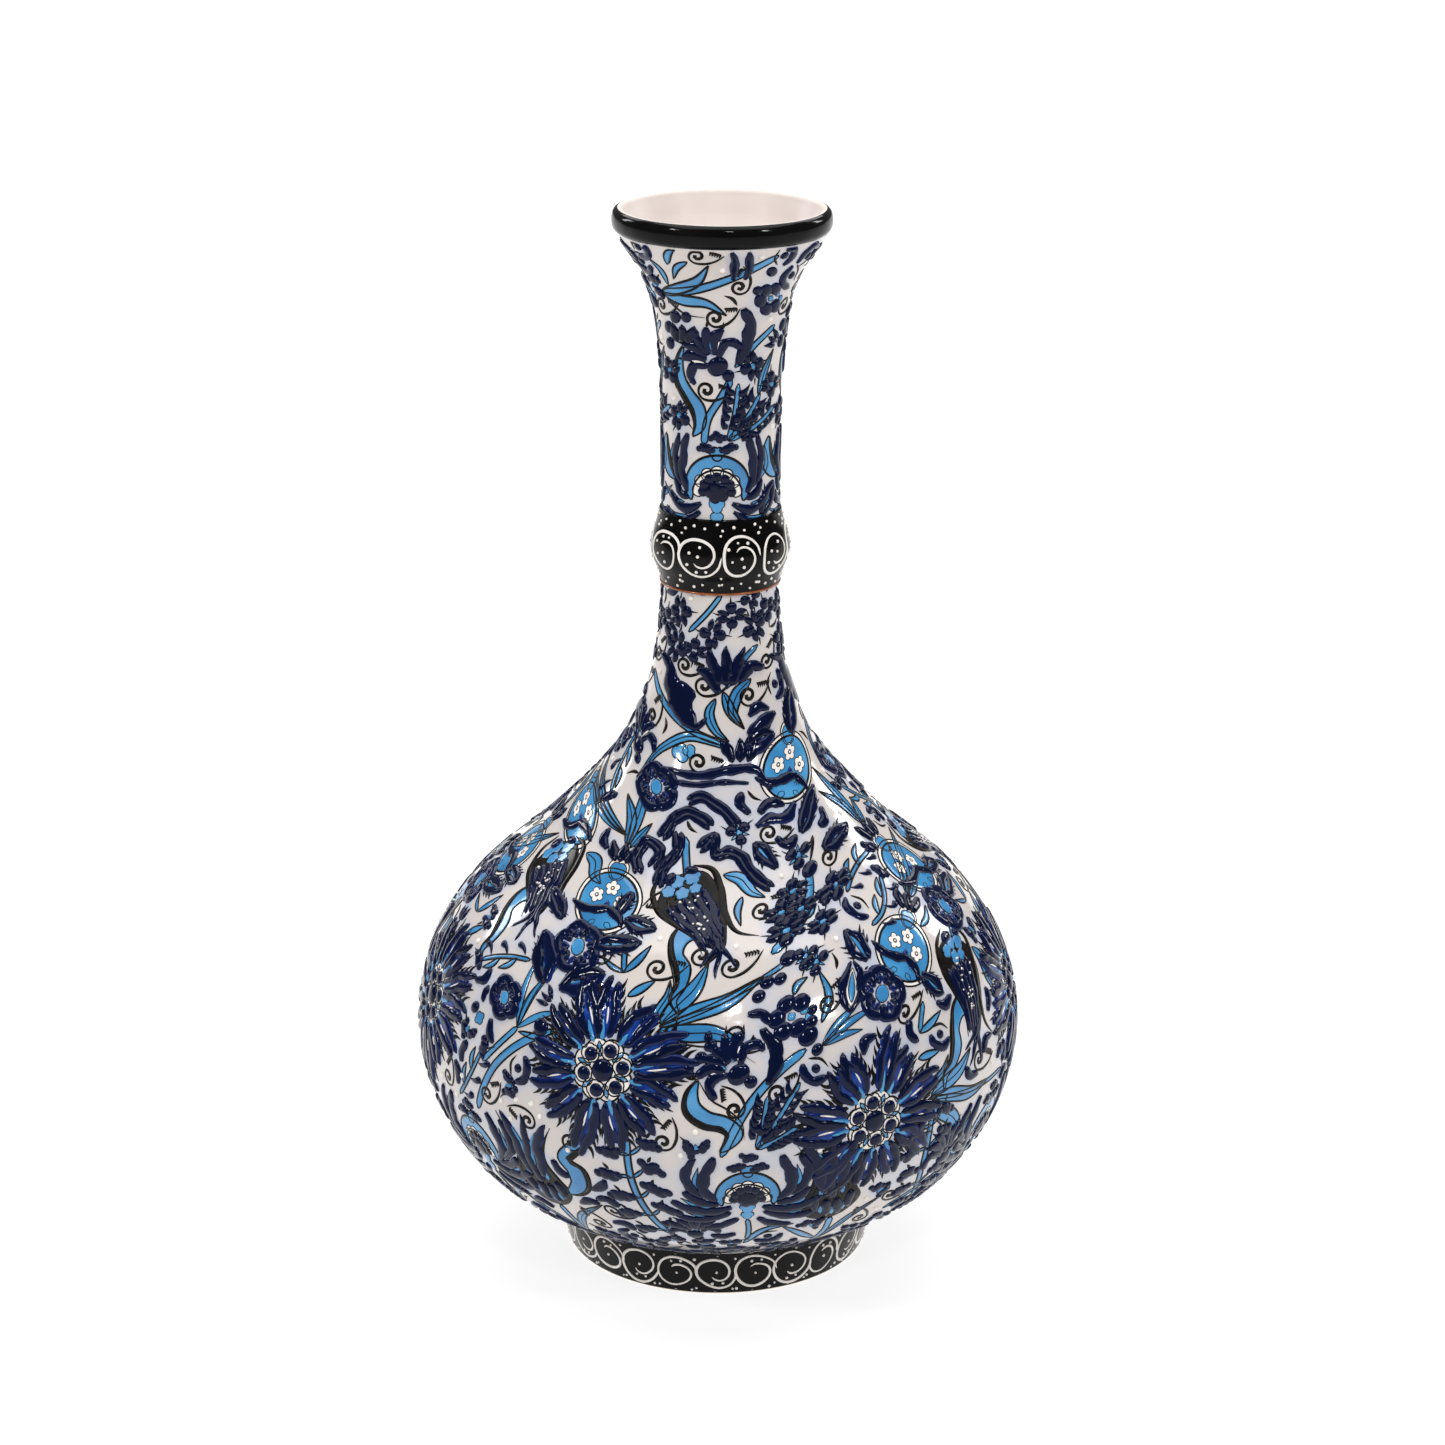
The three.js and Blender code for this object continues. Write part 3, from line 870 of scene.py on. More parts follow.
def palmette(p, w=21.0, spread=1.0):
    """A crescent over a dark heart, with curved strokes spreading on both sides."""
    r = w / 2

    def ring(k, a):
        return k * r * math.sin(math.radians(a)), k * r * math.cos(math.radians(a))

    p.sweep("blue", [(*ring(1.0, a), 5.6 - 3.6 * abs(a / 112) ** 2) for a in range(-112, 113, 28)], rim=1.0)
    p.disc("blue", 0, r + 3.4, 2.8, lobes=3, depth=0.3, turn=90, rim=0.7)
    for a in range(-90, 91, 30):
        p.disc("white", *ring(0.66, a), 2.3, rim=0.6, height=0.15)
        p.disc("cobalt", *ring(0.5, a * 1.05), 1.9, tone=0.15, height=0.8)
    p.disc("cobalt", 0, -0.05 * r, 0.44 * r, lobes=5, depth=0.2, tone=0.1, height=0.9)
    p.disc("blue", 0, -0.5 * r, 2.9, lobes=3, depth=0.3, turn=90, rim=0.6, height=0.4)
    p.disc("blue", 0, -0.95 * r, 2.4, lobes=3, depth=0.3, turn=90, rim=0.6, height=0.3)
    for side in (-1, 1):
        for points, wide in (
            ([(0.55, -0.45), (1.3, -0.72), (2.0, -0.62), (2.75, -0.2)], 3.6),
            ([(0.6, -0.75), (1.3, -1.15), (2.05, -1.2), (2.6, -0.95)], 3.0),
            ([(1.05, -0.3), (1.7, -0.2), (2.3, 0.35)], 3.2),
            ([(1.15, -0.1), (1.62, 0.55), (1.5, 1.25), (1.2, 1.95)], 3.7),
            ([(1.6, 0.1), (2.15, 0.7), (2.2, 1.35), (1.9, 1.9)], 3.1),
            ([(0.35, -1.15), (0.9, -1.6), (1.6, -1.75)], 3.0),
        ):
            stroke(p, [(side * (x if x < 1 else 1 + (x - 1) * spread) * r, y * r) for x, y in points],
                   wide * (0.6 + 0.4 * spread), 0.35)
        p.sweep("blue", [(side * 1.35 * r, 0.2 * r), (side * 1.88 * r, 0.75 * r), (side * 1.78 * r, 1.5 * r)],
                2.0, "leaf", rim=0.4)
        p.sweep("blue", [(side * 1.2 * r, -0.5 * r), (side * 1.8 * r, -0.42 * r), (side * 2.4 * r, 0.0)], 1.8,
                "leaf", rim=0.4)
        p.sweep("blue", [(side * 1.0 * r, -0.95 * r), (side * 1.7 * r, -1.0 * r), (side * 2.2 * r, -0.8 * r)],
                1.4, "leaf", rim=0.4)
    for x, y in ((-4.2, 1.5 * r), (0.2, 1.9 * r), (4.2, 1.5 * r)):
        lump(p.sub(x, y), 2.9)
    stem(p, [(0, -1.2 * r), (0.6, -1.9 * r), (0, -2.9 * r)], 1.8)


def hyacinth(p, length=52.0, n=5, bend=6.0, size=1.0):
    """A stem hanging from its head, with knots of drops on both sides."""
    pts = [(-bend * math.sin(t * 1.5), -length * t) for t in np.linspace(0, 1, 6)]
    stem(p, pts, 2.6, 0.9)
    for i in range(n):
        t = (i + 0.35) / n
        x, y = -bend * math.sin(t * 1.5), -length * t
        for side in (-1, 1):
            ox, oy = side * (7.6 + 1.4 * (i % 2) + jitter(0.8)), -1.5 + 2.6 * side
            leaf(p, [(x, y - 4.0), (x + ox * 0.32, y - 2.4 + oy * 0.3), (x + ox * 0.72, y + oy)], 1.7, 0.7,
                 False)
            lump(p.sub(x + ox, y + oy, side * -18), (4.6 - 0.3 * abs(i - 2)) * size)
            hair(p, [(x + ox * 0.9, y + oy + 2.6), (x + ox * 1.1, y + oy + 5.2)], 1.1)


def wheat(p, tips, pairs=6):
    """Light blue stems from the origin, dark feather strokes on both sides."""
    for x, y in tips:
        length = math.hypot(x, y)
        q = p.sub(0, 0, math.degrees(math.atan2(y, x)) - 90)
        stem(q, [(0, 0), (0.6, length * 0.5), (0, length)], 1.8, 0.6)
        for i in range(pairs):
            yy = length * (0.2 + 0.74 * i / pairs)
            for side in (-1, 1):
                q.sweep("cobalt", [(side * 0.9, yy), (side * 2.9, yy + 1.6), (side * 4.2, yy + 4.8)], 2.9,
                        "drop", tone=0.25)


def fan(p, tips, w=3.0):
    for x, y in tips:
        leaf(p, [(0, 0), (x * 0.5 - y * 0.06, y * 0.5 + x * 0.06), (x, y)], w, rim=0.5)


def calyx(p, w=11.0, length=8.0):
    for k in (-0.42, 0, 0.42):
        p.sweep("cobalt", [(k * w * 0.5, 0, 2.0), (k * w, length * 0.55, 3.8), (k * w * 1.35, length, 1.2)],
                tone=0.15)


def double_line(p, points, w=4.6, tone=0.3):
    """A thick enamel band made of two lines side by side."""
    pts = np.array(points, float)
    side = sideways(pts)
    for k in (-0.26, 0.26):
        p.sweep("cobalt", [tuple(q) for q in pts[:, :2] + side * k * w], w * 0.56, "line", tone=tone)


def spotted_bud(p):
    """A big dark bud, head at the origin, leaning down to the right, with three tails."""
    p.sweep("shade", [(-7, 4.5, 6), (-3.5, 1.5, 19), (2.5, -4.0, 23), (9.0, -11.0, 18), (15, -18.5, 10),
                      (19, -24, 4)],
            height=0.13)
    hair(p, [(-1, 10.2), (6.0, 9.0), (11.0, 2.0), (16.0, -9), (22.5, -16.5), (31, -18.5)], 2.4, "leaf")
    hair(p, [(-10.5, 6.5), (-12.6, -1.5), (-8.0, -9.5), (0, -14.5), (8.0, -19.5), (13.0, -26.0)], 2.0, "leaf")
    for x, y, r in ((-4.8, 3.0, 2.9), (-6.8, -1.2, 2.6), (-1.6, -1.4, 2.7), (0.2, 5.2, 3.1), (2.4, 1.0, 2.3)):
        p.disc("blue", x, y, r, lobes=5, depth=0.26, rim=0.6, height=0.24)
    p.sweep("cobalt", [(-8.8, 1.6), (-6.4, 6.2)], 3.6, "fat", tone=0.35)
    p.sweep("cobalt", [(-3.2, 8.0), (1.2, 8.2)], 3.0, "fat", tone=0.35)
    for k in range(5):
        o = -6.8 + 3.4 * k
        p.sweep("cobalt", [(-0.5 + o * 0.72, -3.0 + o * 0.66, 2.2), (5.5 + o * 0.66, -9.0 + o * 0.5, 3.6),
                           (11.5 + o * 0.46, -15.8 + o * 0.3, 3.2), (16.0 + o * 0.4, -22 + o * 0.35, 1.2)],
                           tone=0.35, height=0.85)
    for x, y, w in ((13.0, -31, 2.0), (19.5, -35, 2.2), (27.0, -31, 2.0)):
        p.sweep("cobalt", [(12.5 + 0.1 * x, -16, 1.8), (15.5 + 0.2 * x - 1.5, -23, w), (x, y, 0.7)], tone=0.3,
                height=0.8)
    for i in range(20):
        t = rng.uniform(0.0, 0.8)
        x, y = 1.0 + 13 * t + jitter(6.5 * (1 - t)), -4.0 - 15 * t + jitter(5.5 * (1 - t))
        p.disc("slip", x, y, rng.uniform(0.35, 0.65), height=1.15)


def leaf_burst(p):
    """Long light blue leaves spreading from one point, up and to the right."""
    leaf(p, [(0, 0), (4.5, 6.5), (9.5, 13.5), (12.0, 23)], 6.8)
    stem(p, [(0, -1), (14, 5.6), (30, 15), (45, 26)], 1.7)
    leaf(p, [(0, -1), (11, 4.6), (22, 9.0), (33, 18)], 6.6)
    leaf(p, [(0, -2), (10, -2.6), (20, -2.4), (31, -6.4)], 7.2)
    hair(p, [(2, -5.6), (14, -7.0), (28, -8.4), (36, -13.0)], 0.8, "drop")
    leaf(p, [(-3, -1), (-1.4, 5), (0.6, 10), (0.2, 16)], 3.6)


class Sheet:
    """A drawing laid out by angle and arc length, read at one place and drawn at another, turned as a whole.
    With a limit, a motif that would cover more than that share of what is there is left out."""

    def __init__(self, canvas, read, drawn=None, turn=0.0, limit=None):
        drawn = read if drawn is None else drawn
        self.canvas, self.limit = canvas, limit
        self.reader = Pen(canvas.surface, *read)
        self.pen = Pen(canvas.surface, *drawn, turn)

    def path(self, points):
        return [(*self.reader.local(q[0], q[1]), *q[2:]) for q in points]

    def do(self, function, *args, **kw):
        self.pen.group = []
        function(self.pen, *args, **kw)
        return self.canvas.lay(self.pen.group, self.limit)

    def put(self, function, angle, s, *args, turn=0.0, size=1.0, flip=False, **kw):
        x, y = self.reader.local(angle, s)
        self.pen.group = []
        function(self.pen.sub(x, y, turn, size, flip), *args, **kw)
        return self.canvas.lay(self.pen.group, self.limit)

    def line(self, function, points, *args, **kw):
        return self.do(function, self.path(points), *args, **kw)


def belly_unit(u):
    """The belly's repeat round its rosette, read at the front repeat."""
    u.put(rosette, -21.5, 113.4)
    u.put(pomegranate, -32.4, 175.0)
    u.put(spotted_bud, -9.2, 184.0)
    u.put(leaf_burst, -11.3, 132.0)
    u.put(carnation, 2.8, 117.5, 10.0, turn=48)
    u.line(stroke, [(8.8, 131), (11.3, 122), (9.6, 111)], 4.2, 0.2)
    u.line(stroke, [(-1.4, 130.5), (-1.6, 127), (-1.0, 124)], 2.4, 0.2, "line")
    for angle, s, r in ((-3.0, 121.0, 2.3), (-5.2, 117.0, 1.9), (-36.0, 123.5, 3.3)):
        u.put(berry, angle, s, 0, 0, r)
    u.put(Pen.disc, -0.8, 118.2, "blue", 0, 0, 2.6, lobes=4, depth=0.3, rim=0.4)
    u.line(ribbon, [(-6.6, 168.7, 8.5), (-9.0, 164, 6.0), (-9.2, 158.5, 3.4), (-7.4, 152.5, 4.6),
                    (-7.6, 146.0, 3.0), (-9.0, 141, 2.4), (-7.8, 136, 0.8)], -1)
    u.line(hair, [(-7.6, 139), (-8.0, 131), (-6.5, 124)], 0.6)
    u.line(leaf, [(1.7, 190.6), (7.0, 189.0), (10.4, 183.5), (14.0, 181)], 6.0)
    u.line(stem, [(-13, 205), (-11.5, 197), (-9.8, 188)], 2.6)
    u.put(open_flower, -34.0, 155.0)
    u.put(serrated_leaf, -34.4, 139.0, 18.5, 8.0, turn=-62)
    u.put(serrated_leaf, -38.5, 139.0, 19.0, 9.0, turn=20)
    u.put(lobed_leaf, -29.5, 157.5, 17.0, 6.5, turn=-78)
    u.put(lobed_leaf, -42.0, 164.0, 15.0, 6.0, turn=52)
    u.put(lobed_leaf, -25.0, 169.0, 13.0, 6.0, turn=-100)
    u.put(calyx, -34.6, 191.0)
    u.line(leaf, [(-35.5, 198), (-38.5, 208), (-48, 217)], 4.6)
    u.line(leaf, [(-35.0, 198), (-36.5, 212), (-41.5, 226)], 5.0)
    u.line(leaf, [(-33.5, 197.5), (-31.5, 203), (-28.5, 208.5)], 3.6)
    u.put(fan, -41.6, 120.6, [(13.5, 27), (9.0, 21.5), (19.5, 10.5), (3.0, 27.5)], 2.8)
    u.line(stem, [(-49, 104), (-45, 113), (-41.4, 121)], 2.2)
    u.put(open_flower, -47.0, 129.0, 6.5)
    u.line(leaf, [(-41.0, 119.5), (-36.5, 119.8), (-32.6, 123.0), (-30.6, 119.0)], 2.6)
    u.line(leaf, [(-33.6, 123.0), (-31.6, 121.0), (-30.6, 114.5)], 2.8)
    u.put(lobed_leaf, -27.5, 171.0, 10.0, 5.0, turn=-15)
    u.line(stem, [(-22.4, 160), (-21.6, 154), (-20.8, 149)], 2.0)
    u.line(leaf, [(-20.8, 149), (-18.4, 154.0), (-16, 160.5)], 3.2)
    u.line(leaf, [(-20.8, 149), (-24.0, 150.6), (-27.0, 153.5)], 2.0)
    u.line(leaf, [(-18.8, 140.6), (-16.2, 144), (-13.4, 147.6)], 3.4)
    for angle, s, turn in ((-13.5, 152.0, 10), (-3.8, 158.0, 60), (3.2, 153.8, 30), (3.7, 128.8, -30),
                           (-13.0, 180.0, 200), (-27.4, 154.0, 120)):
        u.put(spiral, angle, s, 3.3, turn=turn)
    u.line(stem, [(0.8, 84), (3.0, 94), (6.2, 105), (8.4, 110), (12.5, 117), (17, 122.5)], 3.0)


def right_group(u):
    """Blossoming branch to the right of the belly's repeat."""
    for angle, s, r in ((10.7, 147.5, 2.6), (13.7, 148.4, 2.4), (8.6, 142.5, 2.5), (16.4, 155.8, 3.2),
                        (17.7, 127.0, 3.8),
                        (19.2, 121.8, 2.3), (18.8, 131.8, 2.4), (19.4, 136.0, 2.0), (31.4, 189.6, 3.4)):
        u.put(berry, angle, s, 0, 0, r)
    for angle, s, r, n in ((20.5, 155.6, 5.2, 3), (22.6, 153.0, 5.2, 3), (17.5, 174, 5.6, 4),
                           (17.5, 166.5, 6.4, 4),
                           (22.8, 182, 5.6, 4), (23.4, 174.6, 5.4, 4), (28.0, 168.0, 5.4, 4),
                           (37, 181, 6.5, 4), (32.6, 178.6, 4.6, 3), (29.2, 195.6, 5.6, 3)):
        u.put(blossom, angle, s, r, n, turn=40 * n + angle)
    u.put(plum, 14.9, 134.4, 8.6)
    u.line(stem, [(12.6, 158), (18.5, 165), (24.6, 173.4), (28.5, 182), (31, 190)], 3.0)
    u.line(stem, [(22.0, 170), (25.6, 172), (28.6, 178)], 1.5)
    u.line(hair, [(31, 190), (35.0, 196), (38.6, 202)], 1.5, "tail")
    u.line(leaf, [(15.9, 142), (17.2, 145.6), (19.8, 148)], 2.6)
    u.line(leaf, [(20.8, 131), (23.4, 139), (22.8, 150)], 3.4)
    u.put(fan, 20.2, 123.0, [(20.5, 10.5), (15.6, 3.2), (13.0, 13.0)], 3.0)
    u.put(diamond_bud, 27.4, 132.4, turn=8)
    for angle, s, turn in ((39.7, 128.0, 30), (12.2, 176.0, 40), (23.0, 137.6, 60)):
        u.put(spiral, angle, s, 3.0, turn=turn)
    u.put(lobed_leaf, 35.4, 150.0, 18.0, 6.5, turn=44)


def between_group(u):
    """Ribbon, wheat and spirals below and between two rosettes."""
    u.line(ribbon, [(-3.4, 113, 0.8), (-4.3, 108.5, 3.4), (-4.2, 103.5, 5.2), (-1.8, 99.5, 5.0),
                    (1.6, 97.6, 4.6), (3.4, 93.5, 5.4), (2.0, 88.5, 3.0), (0.6, 86.0, 0.8)], -1)
    u.line(hair, [(-3.4, 113), (-1.0, 106), (2.0, 102.4), (4.6, 97.0), (5.0, 91.0)], 0.6)
    u.put(wheat, 7.2, 87, [(3.6, 20), (15, 24), (16, 8.5)])
    for angle, s, turn in ((11, 108, 40), (3.2, 102.5, 120), (-9.6, 89.4, 70), (-27.8, 83.8, 20),
                           (-37, 87.5, 160)):
        u.put(spiral, angle, s, 3.0, turn=turn)
    for angle, s in ((-28.4, 80), (-27, 85), (-3.8, 94), (-6.5, 84.4), (-36, 95), (-39.5, 94.7), (16.4, 87),
                     (19, 84.4)):
        u.put(dot, angle, s)


def bottom_group(u):
    """One sixth of the band above the foot."""
    u.put(tulip, 24.8, 48.0, 40.0, 21.0, turn=1)
    u.line(ribbon, [(17.6, 91, 0.8), (15.6, 86.5, 2.6), (15.0, 81.5, 3.6), (16.4, 77.0, 4.6),
                    (17.8, 72.5, 4.6), (20.6, 68.5, 4.0), (22.6, 63.0, 1.0)], 1)
    u.line(ribbon, [(35.8, 90, 0.8), (34.6, 85, 2.8), (31.8, 80.5, 4.0), (30.0, 75.5, 4.0), (32.2, 71.0, 6.6),
                    (32.6, 65.0, 6.6), (30.6, 59.5, 4.4), (28.6, 57.0, 1.0)], 1)
    u.put(palmette, 6.0, 64.5, 20.0)
    u.put(hyacinth, 43.7, 90.0, 50.0, 5, 4.0)
    u.line(leaf, [(44.6, 89), (47.5, 85.5), (52.0, 82)], 2.8)
    u.line(leaf, [(24.6, 28), (17.5, 40), (14.0, 45.6)], 3.4)
    u.line(leaf, [(26.0, 27), (29.5, 43), (36.4, 54.5)], 3.8)
    u.line(leaf, [(6.4, 32), (10.5, 44), (16.5, 46.5)], 3.4)
    u.line(stem, [(24.8, 47), (25.4, 38), (25.2, 22)], 2.6)
    u.put(carnation, -4.7, 44.0, 7.5, turn=10)
    for angle, s, turn in ((19.8, 78.0, 10), (-7.4, 67.5, 60), (12.6, 92.0, 40), (38.5, 52.0, 0),
                           (33.6, 40.0, 100)):
        u.put(spiral, angle, s, 3.0, turn=turn)
    for angle, s in ((16.6, 92.0), (18.8, 86.0), (21.9, 93.0)):
        u.put(dot, angle, s)


def foot_sprays(u):
    """Stems, leaves and clusters that run down to the black foot."""
    for angle in (2.0, 12.0, 22.0, 32.0, 44.0, 55.0):
        s = 20 + 4 * math.sin(angle)
        u.line(leaf, [(angle, 4), (angle + 2.5, 14), (angle + 7.5, 25)], 3.4)
        u.put(blossom, angle + 5.0, s - 8, 5.2, 4, turn=angle * 7)
        u.line(stroke, [(angle - 1, 6), (angle - 2.5, 15), (angle - 1.0, 24)], 2.8, 0.3)
        u.put(blossom, angle + 1.5, s + 9, 4.6, 3, turn=angle * 11)


def shoulder_group(u):
    """Between belly and lower neck, read from 75 degrees left to 75 right of the front."""
    u.put(pomegranate, 43.2, 229.0, 11.5, turn=-6)
    u.put(pomegranate, -67.5, 202.0, 11.0, turn=14)
    u.line(double_line, [(-7.5, 200), (-1.7, 205.0), (-0.6, 198.4), (4.0, 199.6), (7.6, 197.6), (11.2, 190.6),
                         (16.6, 184)], 4.8)
    u.line(double_line, [(-22.5, 203), (-19.5, 211), (-14.0, 214.5), (-8.0, 213.0), (-3.0, 209)], 4.6)
    u.line(double_line, [(-26.5, 188), (-29.5, 194.5), (-27.0, 201.5), (-22.0, 199.0), (-22.6, 191.0)], 4.4)
    u.line(double_line, [(-19.0, 184), (-18.6, 192), (-15.2, 199), (-16.2, 207)], 4.2)
    u.line(double_line, [(-15.0, 218.5), (-9.0, 221.0), (-2.0, 218.5), (5.0, 213.5), (8.5, 209.5)], 4.2)
    u.line(leaf, [(-9.5, 214), (-5.0, 219.5), (-1.0, 223)], 3.4)
    u.line(stroke, [(16.0, 209), (22.0, 211.5), (30.0, 211.0), (38.0, 216.0)], 3.6, 0.5)
    u.line(stroke, [(18.0, 214), (24.0, 217.5), (32.0, 216.0)], 3.2, 0.3)
    u.line(stroke, [(22.5, 204), (27.0, 200.5), (31.5, 203.5)], 3.2, 0.3)
    u.line(leaf, [(20, 213), (27, 214), (33, 212.6)], 3.0)
    u.put(lobed_leaf, 34.0, 204.0, 18.0, 6.0, turn=-28)
    u.put(lobed_leaf, 40.0, 196.0, 16.0, 6.5, turn=-70)
    u.put(blossom, 8.2, 207.0, 5.0, 3, turn=30)
    u.put(calyx, 13.0, 234.0, 12.0, 9.0)
    u.put(serrated_leaf, 17.5, 240.0, 12.0, 7.0, turn=-75)
    u.line(leaf, [(9.0, 238.4), (-4.0, 241.6), (-18.4, 243.2), (-37.0, 238.0), (-48.6, 224.0)], 4.0)
    u.put(Pen.disc, -24.7, 236.6, "blue", 0, 0, 3.6, lobes=3, depth=0.3, rim=0.45)
    u.put(Pen.disc, -30.0, 237.6, "blue", 0, 0, 2.6, lobes=3, depth=0.3, rim=0.45)
    u.put(Pen.disc, -19.0, 237.6, "blue", 0, 0, 2.6, lobes=3, depth=0.3, rim=0.45)
    u.line(stem, [(-75, 263), (-56, 256), (-37, 250), (-18, 245), (3, 241)], 2.4)
    u.line(stroke_given, [(-68.7, 271, 1.5), (-51, 267.5, 4), (-44.8, 261.5, 6.5), (-34.0, 256.7, 10.5),
                                                (-24.0, 249.5, 5.5), (-16.0, 246.8, 3.0), (-9.5, 250.5, 1.2)])
    u.line(leaf, [(-3.0, 257.5), (-7.6, 252), (-2.0, 245.5), (6.7, 241.7)], 4.0)
    u.line(leaf, [(3.0, 260), (9.0, 252.5), (18, 246)], 4.2)
    u.line(leaf, [(28, 264), (14.8, 259), (10.5, 252.5), (16.5, 247)], 5.0)
    u.put(tulip_small, 5.5, 262.0)
    u.line(stroke, [(-19.7, 268), (-10.0, 266), (-0.8, 259.5)], 3.6, 0.3)
    u.line(stroke, [(16.8, 263), (28.0, 268.5), (42, 267.5)], 3.8, 0.3)
    u.line(stem, [(5.5, 261), (14.0, 267), (25.6, 272.5), (38.0, 276.0)], 2.0)
    u.line(stroke, [(20.0, 243.6), (33.0, 247.5), (46.0, 250.0)], 4.0, 0.35)
    u.line(stroke, [(22.0, 250.5), (32.0, 253.5), (40.0, 252.0)], 3.2, 0.35)
    u.line(leaf, [(24.0, 247.0), (33.0, 250.3), (41.0, 250.8)], 2.2)
    u.put(serrated_leaf, 56.0, 241.0, 16.0, 8.0, turn=-10)
    u.put(open_flower, -33.5, 222.5, 7.5)
    u.put(carnation, -62.4, 238.0, 8.5)
    u.line(stroke, [(-31, 230), (-12.0, 229.0), (5.5, 231.2), (20.6, 231), (27.5, 222.5)], 3.0, 0.4)
    u.line(stroke, [(-31, 226.6), (-14.0, 225.4), (4.0, 226.8), (16.0, 226.0)], 2.0, 0.4)
    u.put(fan, -37.3, 201.7, [(-31, 25), (-26, 19), (-34, 18)], 3.6)
    for angle, s, turn in ((-27.0, 247.0, 40), (-13.0, 262.0, 10), (-12.5, 234.0, 0), (24.0, 258.0, 20),
                           (-57.0, 247.0, 60),
                           (2.5, 190.5, 20), (40.5, 192.5, 80), (-1.5, 212.5, 150), (20.5, 206.0, 0),
                           (-5.5, 194.0, 60)):
        u.put(spiral, angle, s, 3.0, turn=turn)


def neck_base_group(u):
    """Lower neck, hanging from the collar."""
    u.line(stem, [(2.0, 296), (-12.0, 289.0), (-31, 281)], 1.8)
    for angle, s, r in ((-42, 288, 5.2), (-7, 281, 5.0), (11.8, 288, 5.0), (8.6, 294, 4.0), (-44.8, 275, 5.6),
                        (31.9, 294, 4.4),
                        (35.7, 283, 5.4), (-9.6, 273.5, 5.2), (-24.0, 274.5, 4.6), (52.0, 288.0, 5.0),
                        (-60.0, 283.0, 5.0)):
        u.put(blossom, angle, s, r, 4, turn=angle * 5 + s, heart=False)
    u.line(leaf, [(-29.0, 294.0), (-12.0, 287.5), (2.0, 281.5)], 2.4)
    u.line(leaf, [(20.0, 294.0), (25.0, 288.0), (26.0, 282.0)], 2.4)
    u.put(spiral, -33.0, 268.5, 2.6)
    u.put(spiral, 47.0, 269.5, 2.6, turn=60)


def upper_group(u):
    """A third of the upper neck."""
    u.put(palmette, -3.5, 334.5, 21.0, 0.5)
    u.put(carnation, -8.6, 383.0, 9.5, turn=38)
    u.line(ribbon, [(-36.0, 387, 0.8), (-41.0, 381, 2.6), (-40.0, 374.5, 3.8), (-31.0, 369.5, 3.8),
                    (-21.5, 364.5, 4.6), (-20.5, 358, 3.6), (-28.0, 354, 0.8)], -1)
    u.line(stem, [(-16.8, 351), (-12.4, 361), (0, 369), (10, 376)], 2.6)
    u.line(leaf, [(-12.0, 352), (-7.0, 359), (3.0, 365)], 2.2)
    u.put(wheat, 7.2, 353.0, [(3.6, 21), (12.5, 16.5), (21, 11)], 5)
    u.line(leaf, [(37.5, 369), (44.0, 377), (55, 385)], 3.6)
    u.line(stroke, [(17.9, 402), (25.0, 396), (22.0, 387), (15.0, 381)], 4.0, 0.3)
    u.line(stem, [(12.5, 380), (32.0, 388), (53.0, 394)], 2.2)
    u.line(leaf, [(-51.5, 407), (-32.0, 409.5), (-17.0, 413.5), (-8, 421)], 4.8, 1.0, False)
    u.line(leaf, [(-51.5, 406), (-32.0, 404.6), (-12.0, 404.0), (4.0, 399.5)], 4.6, 1.0, False)
    u.line(stem, [(-51.5, 406.5), (-20.0, 409.5), (10.0, 416.0), (34.0, 424.7)], 3.2, 0.9)
    u.line(hair, [(-46.0, 403), (-30.0, 399), (-14, 398.5)], 0.9, "drop")
    u.put(plum, 41.0, 405.0, 7.0)
    u.put(berry, 34.0, 417.0, 0, 0, 2.4)
    u.put(berry, 27.0, 409.0, 0, 0, 2.0)
    for k in (7.0, 11.5, 16.0):
        u.line(stroke, [(k, 414.5), (k + 1.0, 421), (k - 1.5, 427.5)], 2.6, 0.4)
    u.line(leaf, [(-35.5, 420), (-32.0, 425), (-26.0, 429)], 3.2)
    u.line(ribbon, [(53.5, 353, 1.0), (50.0, 347.5, 4.2), (53.0, 342.0, 5.0), (62.0, 338.5, 3.0),
                    (69.5, 337, 0.8)], 1)
    for angle, s, r in ((-42.6, 397.5, 2.6), (-53, 393, 2.4), (-53, 387, 2.4), (-31.0, 398.0, 2.2)):
        u.put(berry, angle, s, 0, 0, r)
    u.put(calyx, -37.3, 388.0, 9.0, 7.0)
    u.put(lobed_leaf, -33.0, 343.5, 16.0, 6.5, turn=8)
    u.put(lobed_leaf, 24.0, 341.0, 15.0, 6.0, turn=-6)
    u.put(lobed_leaf, -44.0, 341.0, 15.0, 6.5, turn=22)
    u.put(lobed_leaf, 36.0, 337.0, 14.0, 6.0, turn=-24)
    u.put(lobed_leaf, 45.0, 324.5, 13.0, 6.0, turn=-30)
    u.put(lobed_leaf, -50.0, 324.5, 13.0, 6.0, turn=30)
    for angle, s in ((-44.0, 361.0), (38.0, 360.5), (55.0, 372.0), (-56.0, 377.0), (30.0, 380.0)):
        u.put(blossom, angle, s, 5.0, 4, turn=angle * 3)
    for angle, s, turn in ((-14, 425.4, 0), (2, 421, 40), (12.5, 411, 80), (-5.3, 398.5, 20),
                           (31.0, 398.0, 60), (-14, 371.5, 0), (37.5, 353.5, 90), (-58.0, 401.0, 10)):
        u.put(spiral, angle, s, 2.8, turn=turn)


def stroke_given(p, points, tone=0.25):
    p.sweep("cobalt", points, tone=tone)


